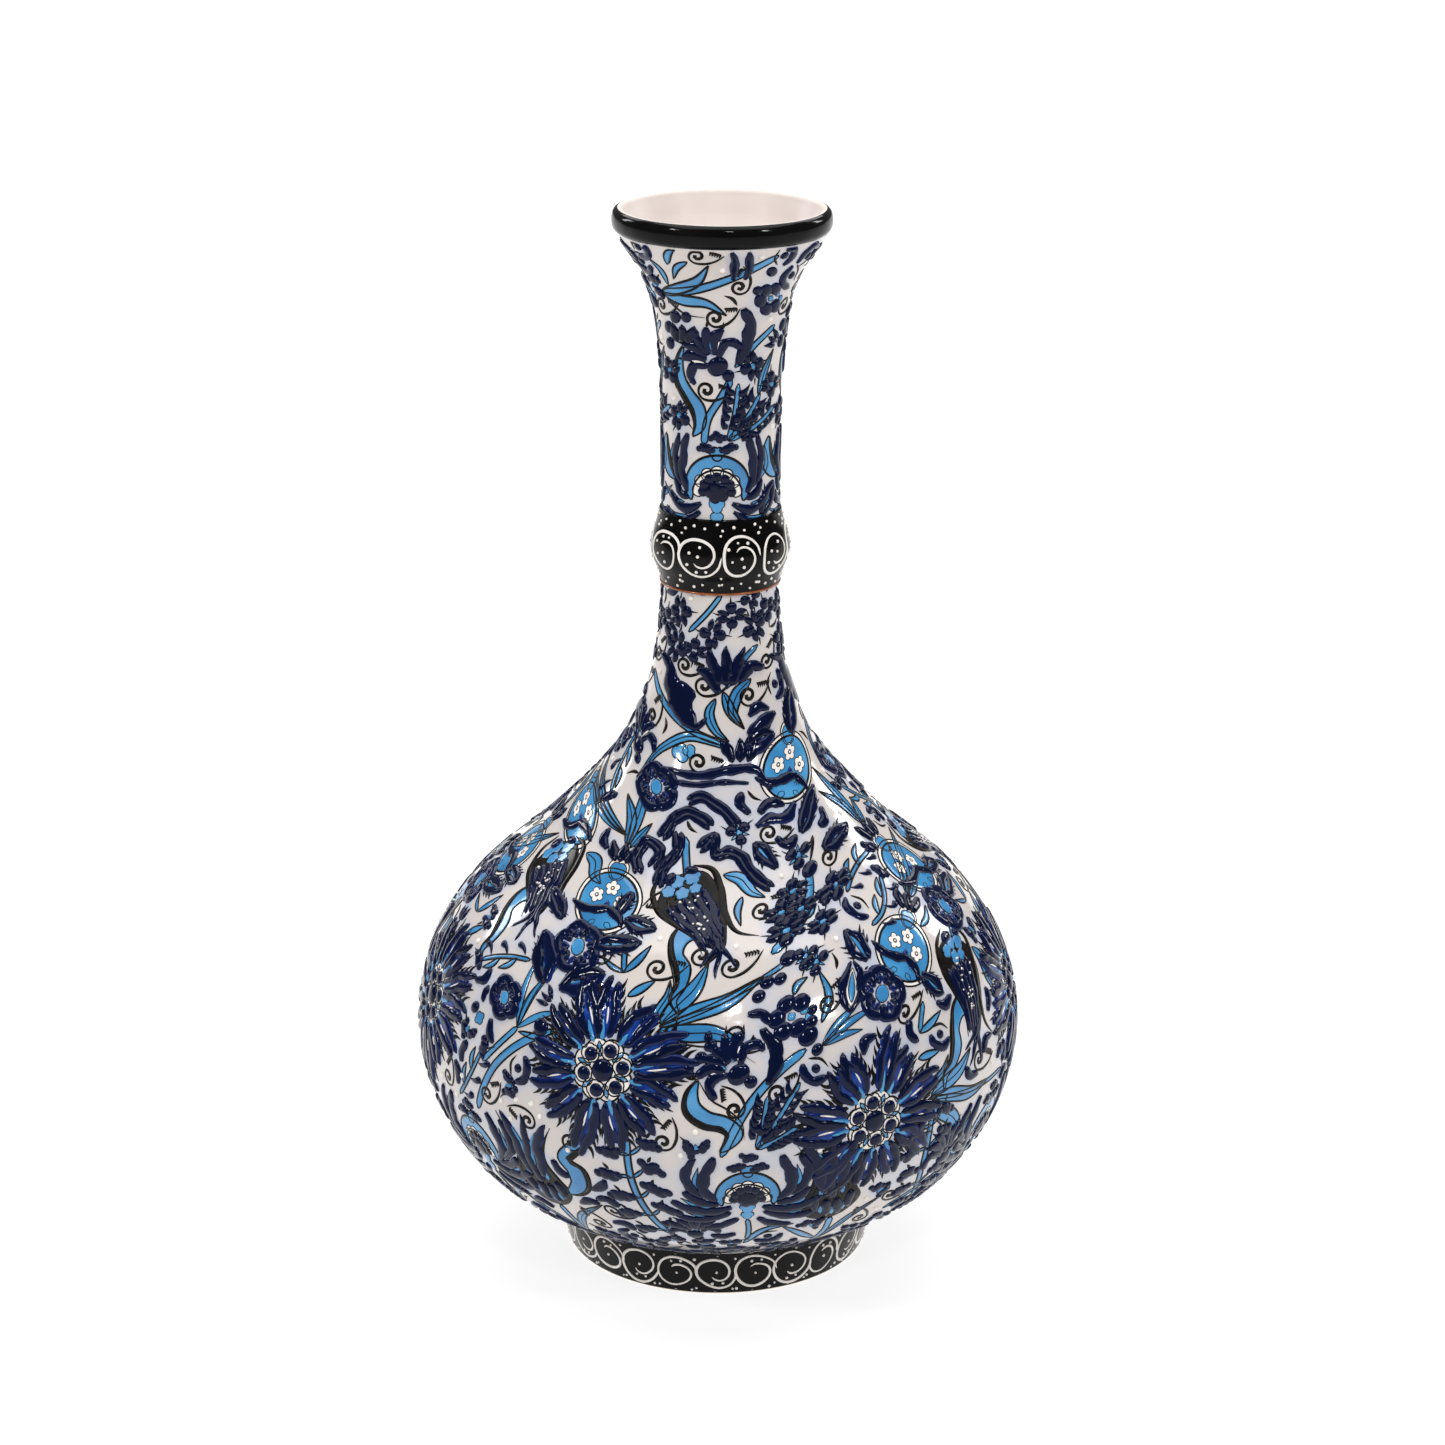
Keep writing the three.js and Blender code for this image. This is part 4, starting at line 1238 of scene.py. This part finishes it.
def tulip_small(p):
    for x, turn in ((-2.2, 18), (0, 0), (2.2, -18)):
        p.sub(x, 0, turn).sweep("cobalt", [(0, 0, 2.4), (0, 7, 4.2), (0, 15, 0.8)], tone=0.25)


# ------------------------------------------------------------------ composition
UNITS = 7
STEP_ANGLE = 360 / UNITS
FRONT = (-21.5, 113.4)  # middle of the front's left rosette
RIGHT = (29.9, 92.0)  # middle of the one to its right, which sits lower and is turned
LOW, LEAN = 94.0, -38
belly_unit(Sheet(wall, FRONT))
right_group(Sheet(wall, FRONT))
between_group(Sheet(wall, FRONT))
belly_unit(Sheet(wall, FRONT, RIGHT, turn=LEAN, limit=0.5))
for shift in range(0, 360, 60):
    bottom_group(Sheet(wall, (0.0, 64.0), (shift, 64.0), limit=0.6))
shoulder_group(Sheet(wall, (0.0, 240.0), limit=0.6))
for k in range(2, UNITS):
    angle = FRONT[0] + STEP_ANGLE * k
    if k % 2 == 0:
        belly_unit(Sheet(wall, FRONT, (angle, FRONT[1]), limit=0.4))
        right_group(Sheet(wall, FRONT, (angle, FRONT[1]), limit=0.35))
    else:
        belly_unit(Sheet(wall, FRONT, (angle, LOW), turn=LEAN, limit=0.4))
    between_group(Sheet(wall, FRONT, (angle, FRONT[1]), limit=0.3))
for shift in (120, 240):
    shoulder_group(Sheet(wall, (0.0, 240.0), (shift, 240.0), limit=0.35))
for shift in range(0, 360, 120):
    neck_base_group(Sheet(wall, (0.0, 285.0), (shift, 285.0), limit=0.4))
    upper_group(Sheet(wall, (0.0, 375.0), (shift, 375.0), limit=0.5))
for shift in range(0, 360, 60):
    foot_sprays(Sheet(wall, (0.0, 20.0), (shift, 20.0), limit=0.35))


# ------------------------------------------------------------------ small motifs in what is still bare
def twig(p):
    stem(p, [(0, -8), (0.8, 0), (0, 6)], 1.6)
    blossom(p.sub(0, 7.5), 5.6, 4, 0.3)
    for side, y in ((-1, -5), (1, -2), (-1, 1)):
        p.sub(0.4 * side, y, -side * 48).sweep("cobalt", [(0, 0.5), (0, 6.2)], 2.9, "leaf", tone=0.35)


def sprout(p, length=26.0):
    """A blue stem with leaves and drops, and a knot at its tip."""
    bow = jitter(3.0)
    path = [(0, -length / 2), (bow, -length / 6), (bow, length / 6), (0, length / 2)]
    stem(p, path, 1.7, 0.8)
    for i in range(5):
        side, y = (-1) ** i, length * (-0.42 + 0.17 * i)
        if i % 2:
            leaf(p, [(bow * 0.6, y), (side * 3.0 + bow, y + 3.4), (side * 4.2 + bow, y + 8.6)], 2.6, 0.8,
                 False)
        else:
            p.sweep("cobalt", [(bow * 0.6 + side, y + 1.0), (side * 3.6 + bow, y + 2.6),
                               (side * 5.4 + bow, y + 6.2)], 2.8, "tail",
                    tone=0.4)
    lump(p.sub(0, length / 2 + 1.5, jitter(60)), 3.6)
    hair(p, [(2.0, length / 2 + 3.0), (4.2, length / 2 + 6.5)], 1.0, "drop")


def curl_drop(p):
    """A thick bent stroke with a berry and a brush line beside it."""
    stroke(p, [(-4.6, -3.4), (-1.0, -3.6), (2.6, 0.0), (2.2, 4.6)], 2.9, 0.4)
    berry(p, -1.8, 1.0, 1.7)
    hair(p, [(-6.0, -1.0), (-4.6, 3.6), (-1.0, 5.8)], 0.9)


def small_cluster(p):
    lump(p.sub(-0.6, 2.2, 20), 3.4)
    lump(p.sub(0.8, -2.6, -30), 3.0)
    p.sweep("blue", [(-1.6, -0.6), (1.8, 0.4)], 1.6, "leaf", rim=0.4, height=0.6)
    hair(p, [(2.2, 3.6), (4.2, 6.2)], 1.0, "drop")


def dark_leaf(p):
    lobed_leaf(p.sub(0, -6), 12.5, 6.0)


def small_leaf(p):
    leaf(p, [(0, -6), (1.5, 0), (0, 6)], 2.8, 0.8, False)


def small_comma(p):
    stroke(p, [(0, -4.4), (1.6, 0), (-0.4, 4.4)], 3.1, 0.35)


def small_strokes(p):
    for k in (-1, 0, 1):
        q = p.sub(k * 2.4, 0, -k * 22)
        q.sweep("cobalt", [(0, -3), (0, 3.4)], 1.9, "leaf", tone=0.35)


def small_tick(p):
    hair(p, [(0, -3.2), (0.9, 0), (0, 3.2)], 1.1)


def small_trio(p):
    for a in (0, 120, 240):
        berry(p, 2.5 * math.sin(math.radians(a)), 2.5 * math.cos(math.radians(a)), 1.7)


def small_spiral(p):
    spiral(p, 2.8)


LOWEST, HIGHEST = 6.0, WALL.length - 2  # the part of the wall that is filled


def fill(canvas, function, clear, tries, high, limit, slack):
    """Scatters a motif where a circle of radius clear is covered no more than slack, below the place high.
    limit is the share of the motif that may cover others."""
    spots_a = rng.uniform(-math.pi, math.pi, tries)
    spots_s = rng.uniform(LOWEST, high, tries)
    weight = canvas.surface.radius(spots_s) / canvas.surface.r.max()
    keep = rng.uniform(0, 1, tries) < weight
    spots_a, spots_s = spots_a[keep], spots_s[keep]
    ring = np.array([(f * clear * math.sin(t), f * clear * math.cos(t)) for f in (0.0, 0.5, 1.0)
                     for t in np.linspace(0, 2 * math.pi, 12, endpoint=False)])
    turns = rng.uniform(0, 360, len(spots_a))
    for a, s, turn in zip(spots_a, spots_s, turns):
        rs = np.clip(((s + ring[:, 1]) / CELL_S).astype(int), 0, canvas.rows - 1)
        around = (a + ring[:, 0] / canvas.surface.radius(s)) / (2 * math.pi) * COLUMNS
        cs = np.floor(around).astype(int) % COLUMNS
        if canvas.covered[rs, cs].mean() > slack:
            continue
        pen = Pen(canvas.surface, math.degrees(a), s, turn)
        function(pen)
        canvas.lay(pen.group, limit)


for motif, *settings in (
    # motif, clear, tries, high, limit, slack
    (sprout, 11.0, 9000, 240, 0.26, 0.44),
    (twig, 9.5, 6000, 235, 0.2, 0.35),
    (curl_drop, 6.2, 9000, HIGHEST, 0.2, 0.33),
    (dark_leaf, 6.0, 3000, HIGHEST, 0.18, 0.32),
    (small_cluster, 5.2, 10000, HIGHEST, 0.2, 0.28),
    (small_spiral, 5.6, 7000, HIGHEST, 0.18, 0.24),
    (curl_drop, 5.6, 9000, 135, 0.3, 0.46),
    (small_cluster, 4.8, 14000, 135, 0.32, 0.45),
    (small_leaf, 4.4, 9000, HIGHEST, 0.18, 0.22),
    (small_strokes, 3.6, 6000, HIGHEST, 0.18, 0.22),
    (small_comma, 3.2, 18000, 135, 0.3, 0.36),
    (small_comma, 3.2, 9000, HIGHEST, 0.16, 0.18),
    (small_trio, 3.2, 6000, HIGHEST, 0.14, 0.18),
    (small_tick, 2.4, 14000, HIGHEST, 0.16, 0.2),
    (dot, 1.9, 9000, HIGHEST, 0.06, 0.12),
):
    fill(wall, motif, *settings)


# ------------------------------------------------------------------ slip scrolls on the black bands
def scroll(p, r):
    """A curl that starts at its link on the right, rolls round below and ends inside."""
    turned = np.linspace(0, 490, 19)
    a = -np.radians(turned + jitter(6))
    k = r * np.interp(turned, [0, 180, 270, 360, 450, 490], [1.06, 1.0, 0.92, 0.72, 0.5, 0.4])
    k *= 1 + 0.06 * np.sin(2 * a + jitter(3.0)) + 0.03 * np.sin(3 * a + jitter(3.0))
    w = 0.95 + 0.2 * np.sin(np.radians(turned) * 0.7 + jitter(1.5))
    p.sweep("slip", [(kk * math.cos(b), kk * math.sin(b), ww) for kk, b, ww in zip(k, a, w)], step=0.6)


def band_scrolls(canvas, count, middle, r, inside, outside):
    for i in range(count):
        pen = Pen(canvas.surface, 360 * (i + 0.5) / count - 180, middle + jitter(0.3),
                  180 * (i % 2) + jitter(5), 1.0, i % 2)
        scroll(pen, r * (1 + jitter(0.05)))
        for x, y in inside:
            pen.disc("slip", x * r + jitter(0.3), y * r + jitter(0.3), rng.uniform(0.45, 0.65), height=0.45)
        canvas.lay(pen.group)
        for x, y in outside:
            pen = Pen(canvas.surface, 360 * (i + 0.5) / count - 180, middle)
            pen.disc("slip", x * r + jitter(0.5), y * r + jitter(0.4), rng.uniform(0.42, 0.65), height=0.45)
            canvas.lay(pen.group)


INSIDE = [(-0.62, -0.38), (-0.2, -0.72), (0.3, -0.7), (0.0, 0.05), (-0.45, 0.2), (0.1, 0.5)]
foot = Canvas(FOOT, [("foot", 999.0)])
collar = Canvas(COLLAR, [("collar", 999.0)])
band_scrolls(foot, 25, FOOT.length * 0.5, 7.3, INSIDE[1:4],
             [(0.98, 0.9), (0.8, -1.05), (1.05, -0.95), (0.05, 1.2), (-0.1, -1.2)])
band_scrolls(collar, 10, COLLAR.length * 0.52, 7.6, INSIDE,
             [(-0.8, 1.35), (-0.3, 1.55), (0.25, 1.4), (0.75, 1.62), (1.0, 1.15), (-0.9, -1.4), (-0.4, -1.62),
              (0.05, -1.42), (0.5, -1.7), (0.85, -1.38), (1.0, -1.05)])


# ------------------------------------------------------------------ the drawing's pieces
PIECE_NAMES = {
    "blue": ("light_blue_painting", "light_blue_glaze", "blue"),
    "white": ("white_painting", "white_glaze", "slip"),
    "ink": ("brush_lines", "black_line", "ink"),
    "cobalt": ("cobalt_relief", "cobalt_enamel", "cobalt"),
    "slip": ("slip_dots", "white_slip", "slip"),
}
for canvas in (wall, foot, collar):
    for (layer, zone), piece in sorted(canvas.pieces.items()):
        name, slot, material = PIECE_NAMES[layer]
        if canvas is not wall:
            name = "slip_scrolls"
        obj = piece.build(f"{name}_{zone}", [MATERIALS[material]])

# ------------------------------------------------------------------ sections of the pot
SEGMENTS = 360


def section(name, outline, hard, materials, pick, replaces, slot, halo=None):
    """Turns a closed outline of (radius, height); outline goes up outside and down inside."""
    outline = np.array(outline, float)
    n, m = len(outline), SEGMENTS
    angle = np.linspace(-math.pi, math.pi, m + 1)
    piece = Piece()
    on_axis = outline[:, 0] < 1e-6
    r, z = outline[:, 0], outline[:, 1]
    verts = np.stack([r[:, None] * np.sin(angle[:-1]), -r[:, None] * np.cos(angle[:-1]),
                      z[:, None] + 0 * angle[:-1]], -1)
    arc = np.concatenate([[0], np.cumsum(np.hypot(np.diff(r), np.diff(z)))])
    arc = np.append(arc, arc[-1] + math.hypot(r[0] - r[-1], z[0] - z[-1]))
    i, j = np.meshgrid(np.arange(n), np.arange(m), indexing="ij")
    i, j = i.ravel(), j.ravel()
    i2, j2 = (i + 1) % n, (j + 1) % m
    uv = np.stack([angle[j] / (2 * math.pi) + 0.5, arc[i] / arc[-1]], -1) * 0.98 + 0.01
    u0, u1 = uv[:, 0], (angle[j + 1] / (2 * math.pi) + 0.5) * 0.98 + 0.01
    v0, v1 = uv[:, 1], arc[i + 1] / arc[-1] * 0.98 + 0.01
    flat = verts.reshape(-1, 3) * MM
    quads = np.stack([i * m + j, i * m + j2, i2 * m + j2, i2 * m + j], -1)
    corner = np.stack([np.stack([u0, v0], -1), np.stack([u1, v0], -1), np.stack([u1, v1], -1),
                       np.stack([u0, v1], -1)], 1)
    keep = ~(on_axis[i] & on_axis[i2])
    tone = np.zeros(len(flat)) if halo is None else halo(angle[:-1], r, z).ravel()
    # rings on the axis collapse to one vertex
    if on_axis.any():
        remap = np.arange(len(flat))
        for k in np.nonzero(on_axis)[0]:
            remap[k * m : (k + 1) * m] = k * m
        quads = remap[quads]
    is_tri = (quads[:, 0] == quads[:, 1]) | (quads[:, 2] == quads[:, 3])
    piece.verts.append(flat)
    piece.tone.append(tone)
    q = keep & ~is_tri
    piece.quads.append(quads[q])
    piece.quad_uv.append(corner[q])
    t = keep & is_tri
    if t.any():
        low = quads[t][:, 0] == quads[t][:, 1]
        tq, tc = quads[t], corner[t]
        tri = np.where(low[:, None], tq[:, [0, 2, 3]], tq[:, [0, 1, 2]])
        tuv = np.where(low[:, None, None], tc[:, [0, 2, 3]], tc[:, [0, 1, 2]])
        piece.tris.append(tri)
        piece.tri_uv.append(tuv)
    obj = piece.build(name, materials, pick, "halo", sharp=hard)
    remove_loose(obj.data)
    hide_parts(*replaces)
    return obj


def remove_loose(mesh):
    bm = bmesh.new()
    bm.from_mesh(mesh)
    loose = [v for v in bm.verts if not v.link_faces]
    bmesh.ops.delete(bm, geom=loose, context="VERTS")
    bm.to_mesh(mesh)
    bm.free()


def outer(z0, z1, step=1.6):
    s0, s1 = np.interp([z0, z1], WALL.z, WALL.s)
    s = np.linspace(s0, s1, max(3, int((s1 - s0) / step)))
    z = WALL.height(s)
    z[0], z[-1] = z0, z1
    return list(zip(WALL.radius(s), z))


def inner(z0, z1, step=4.0):
    s0, s1 = np.interp([z0, z1], INNER.z, INNER.s)
    s = np.linspace(s0, s1, max(3, int((s1 - s0) / step)))
    z = INNER.height(s)
    z[0], z[-1] = z0, z1
    return list(zip(INNER.radius(s), z))[::-1]


def blur(mask, radius_mm):
    out = mask.astype(float)
    r = WALL.radius(np.arange(len(out)) * CELL_S)
    for _ in range(2):
        k = np.arange(-3, 4)
        out = sum(np.roll(out, int(d), 0) * math.exp(-0.5 * (d * CELL_S / radius_mm) ** 2) for d in k)
        out /= sum(math.exp(-0.5 * (d * CELL_S / radius_mm) ** 2) for d in k)
        spread = np.clip(radius_mm / (2 * math.pi * r / COLUMNS), 0.6, 12)
        freq = np.fft.rfftfreq(COLUMNS)
        spectrum = np.fft.rfft(out, axis=1) * np.exp(-2 * (math.pi * freq[None, :] * spread[:, None]) ** 2)
        out = np.fft.irfft(spectrum, COLUMNS, axis=1)
    return out


def make_halo(field):
    def halo(angle, r, z):
        s = np.interp(z, WALL.z, WALL.s)
        on_outside = r > np.interp(z, WALL.z, WALL.r) - 1.0
        rows = np.clip((s / CELL_S).astype(int), 0, field.shape[0] - 1)
        cols = np.floor((angle % (2 * math.pi)) / (2 * math.pi) * COLUMNS).astype(int) % COLUMNS
        return field[rows][:, cols] * on_outside[:, None]

    return halo


halo = make_halo(np.clip(blur(wall.cobalt, 1.6) * 1.5 - 0.25, 0, 1))
GROUND = [MATERIALS["ground"], MATERIALS["inside"], MATERIALS["black"], MATERIALS["clay"]]


def face_data(mesh):
    n = len(mesh.polygons)
    centre, normal = np.zeros(n * 3, np.float32), np.zeros(n * 3, np.float32)
    mesh.polygons.foreach_get("center", centre)
    mesh.polygons.foreach_get("normal", normal)
    centre, normal = centre.reshape(-1, 3) / MM, normal.reshape(-1, 3)
    r = np.hypot(centre[:, 0], centre[:, 1])
    outward = (normal[:, 0] * centre[:, 0] + normal[:, 1] * centre[:, 1]) / np.maximum(r, 1e-6)
    return r, centre[:, 2], outward


def pick_wall(mesh):
    r, z, _ = face_data(mesh)
    outside = r > np.interp(z, WALL.z, WALL.r) - 1.2
    return np.where(outside, 0, 1)


floor_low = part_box("lower_bowl")[0].z / MM
bore = min(math.hypot(v.co.x, v.co.y) for v in NODES["foot_ring"].data.vertices) / MM
low_r = FOOT.r[0]
foot_outline = (
    [(bore, 0.4), (bore + 0.4, 0.0), (low_r - 1.2, 0.0), (low_r - 0.45, 0.25), (low_r - 0.05, 0.7)]
    + list(zip(FOOT.r[1:], FOOT.z[1:]))
    + [(FOOT.r[-1] + 0.05, seam["foot"]), (bore, seam["foot"])]
)


BEVEL_TOP = 0.95  # up to here, and inside, the foot is bare clay


def pick_foot(mesh):
    _, z, outward = face_data(mesh)
    return np.where((z < BEVEL_TOP) | (outward < 0), 3, 2)


section("foot_ring_glazed", foot_outline, 40, GROUND, pick_foot, ["foot_ring"], "black_glaze")
section("lower_bowl_glazed",
        [(0, floor_low), (bore, floor_low), (bore, seam["foot"])] + outer(seam["foot"], seam["equator"])
        + inner(INNER.z[0], seam["equator"]) + [(0, INNER.z[0] - 0.3)],
        40, GROUND, pick_wall, ["lower_bowl", "slip_joint_foot", "slip_joint_equator"], "white_glaze", halo)
section("upper_bowl_glazed",
        outer(seam["equator"], seam["shoulder"]) + inner(seam["equator"], seam["shoulder"]),
        40, GROUND, pick_wall, ["upper_bowl", "slip_joint_shoulder"], "white_glaze", halo)
section("lower_neck_glazed",
        outer(seam["shoulder"], seam["neck"]) + inner(seam["shoulder"], seam["neck"]),
        40, GROUND, pick_wall, ["lower_neck"], "white_glaze", halo)
section("upper_neck_glazed",
        outer(seam["neck"], seam["lip"]) + inner(seam["neck"], seam["lip"]),
        40, GROUND, pick_wall, ["upper_neck", "slip_joint_neck"], "white_glaze", halo)

collar_bore = np.interp(collar_low, WALL.z, WALL.r) - 0.5
section("neck_collar_glazed",
        [(collar_bore, collar_low)] + list(zip(COLLAR.r, COLLAR.z)) + [(collar_bore, collar_high)],
        50, GROUND, lambda mesh: np.full(len(mesh.polygons), 2), ["neck_collar", "slip_joint_collar"],
        "black_glaze")

# rust line where the black glaze ends under the collar
t = np.linspace(0, 2 * math.pi, 9)[:-1]
rust_r, rust_z = COLLAR.r[0] + 0.1, collar_low + 0.2
section("collar_rust_line", [(rust_r + 0.35 * math.cos(-a), rust_z - 0.45 * math.sin(-a)) for a in t], 80,
        [MATERIALS["rust"]],
        None, [], "black_glaze")

# lip: the node's own outline, rounded
lip = np.array(sorted({(round(math.hypot(v.co.x, v.co.y) / MM, 1), round(v.co.z / MM, 1))
                       for v in NODES["mouth_lip"].data.vertices}))
mid = lip.mean(0)
roll = lip[np.argsort(np.arctan2(lip[:, 1] - mid[1], lip[:, 0] - mid[0]))]
roll = np.roll(roll, -1, axis=0)  # from the outer lower corner over the top to the inner lower corner
roll[0] = WALL.r[-1], seam["lip"]
roll[-1] = INNER.r[-1], seam["lip"]
fine, _ = spline(roll, np.hypot(*np.diff(roll, axis=0).T), 0.5)


BLACK_EDGE = 37.6  # radius on top of the lip where the black glaze begins


def pick_lip(mesh):
    r, z, _ = face_data(mesh)
    return np.where((r < BLACK_EDGE) & (z > seam["lip"] + 0.1), 1, 2)


section("mouth_lip_glazed", fine, 60, GROUND, pick_lip, ["mouth_lip", "slip_joint_lip"], "black_glaze")

# ------------------------------------------------------------------ floor, light, camera
floor_mesh = bpy.data.meshes.new("floor")
half = 9.0  # metres
floor_mesh.from_pydata([(-half, -half, 0), (half, -half, 0), (half, half, 0), (-half, half, 0)], [],
                       [(0, 1, 2, 3)])
floor = bpy.data.objects.new("floor", floor_mesh)
bpy.context.scene.collection.objects.link(floor)
n = Nodes("floor_paint")
n.finish((0.3, 0.3, 0.3, 1.0), 0.9, specular=0.0)
n.shader.inputs["Emission Color"].default_value = (1.0, 1.0, 1.0, 1.0)
n.shader.inputs["Emission Strength"].default_value = 0.78
floor_mesh.materials.append(n.mat)

world = bpy.data.worlds.new("studio")
world.use_nodes = True
world.node_tree.nodes["Background"].inputs["Color"].default_value = (1.0, 1.0, 1.0, 1.0)
world.node_tree.nodes["Background"].inputs["Strength"].default_value = 0.14
bpy.context.scene.world = world


def area(name, place, target, size, power):
    light = bpy.data.lights.new(name, "AREA")
    light.shape = "RECTANGLE"
    light.size, light.size_y = size
    light.energy = power
    obj = bpy.data.objects.new(name, light)
    obj.location = place
    obj.rotation_euler = (Vector(target) - Vector(place)).to_track_quat("-Z", "Y").to_euler()
    bpy.context.scene.collection.objects.link(obj)


for name, place, target, size, power in (
    ("softbox_left", (-1.45, -1.0, 1.45), (0, 0, 0.28), (0.18, 0.32), 13.0),
    ("softbox_right", (1.3, -1.15, 1.35), (0, 0, 0.28), (0.18, 0.3), 11.0),
    ("softbox_camera", (0.25, -1.75, 1.75), (0, 0, 0.28), (0.2, 0.2), 7.0),
    ("ceiling", (0.1, 0.3, 2.7), (0.1, 0.3, 0), (3.0, 2.4), 66.0),
    ("ceiling_back", (0.0, 3.6, 2.8), (0.0, 3.6, 0), (5.0, 3.2), 150.0),
    ("window_back_left", (-1.7, 1.1, 1.1), (0, 0, 0.2), (0.3, 0.7), 8.0),
    ("window_back_right", (1.7, 1.1, 1.1), (0, 0, 0.2), (0.3, 0.7), 8.0),
):
    area(name, place, target, size, power)

camera = bpy.data.cameras.new("camera")
camera.lens = 92.47
camera.sensor_width = 36.0
camera_obj = bpy.data.objects.new("camera", camera)
camera_obj.matrix_world = (
    Matrix.Translation((0.0012, -1.3114, 0.6392))
    @ Matrix.Rotation(math.radians(71.751), 4, "X")
    @ Matrix.Rotation(math.radians(0.35), 4, "Z")
)
bpy.context.scene.collection.objects.link(camera_obj)
bpy.context.scene.camera = camera_obj
bpy.context.scene.view_settings.view_transform = "Standard"
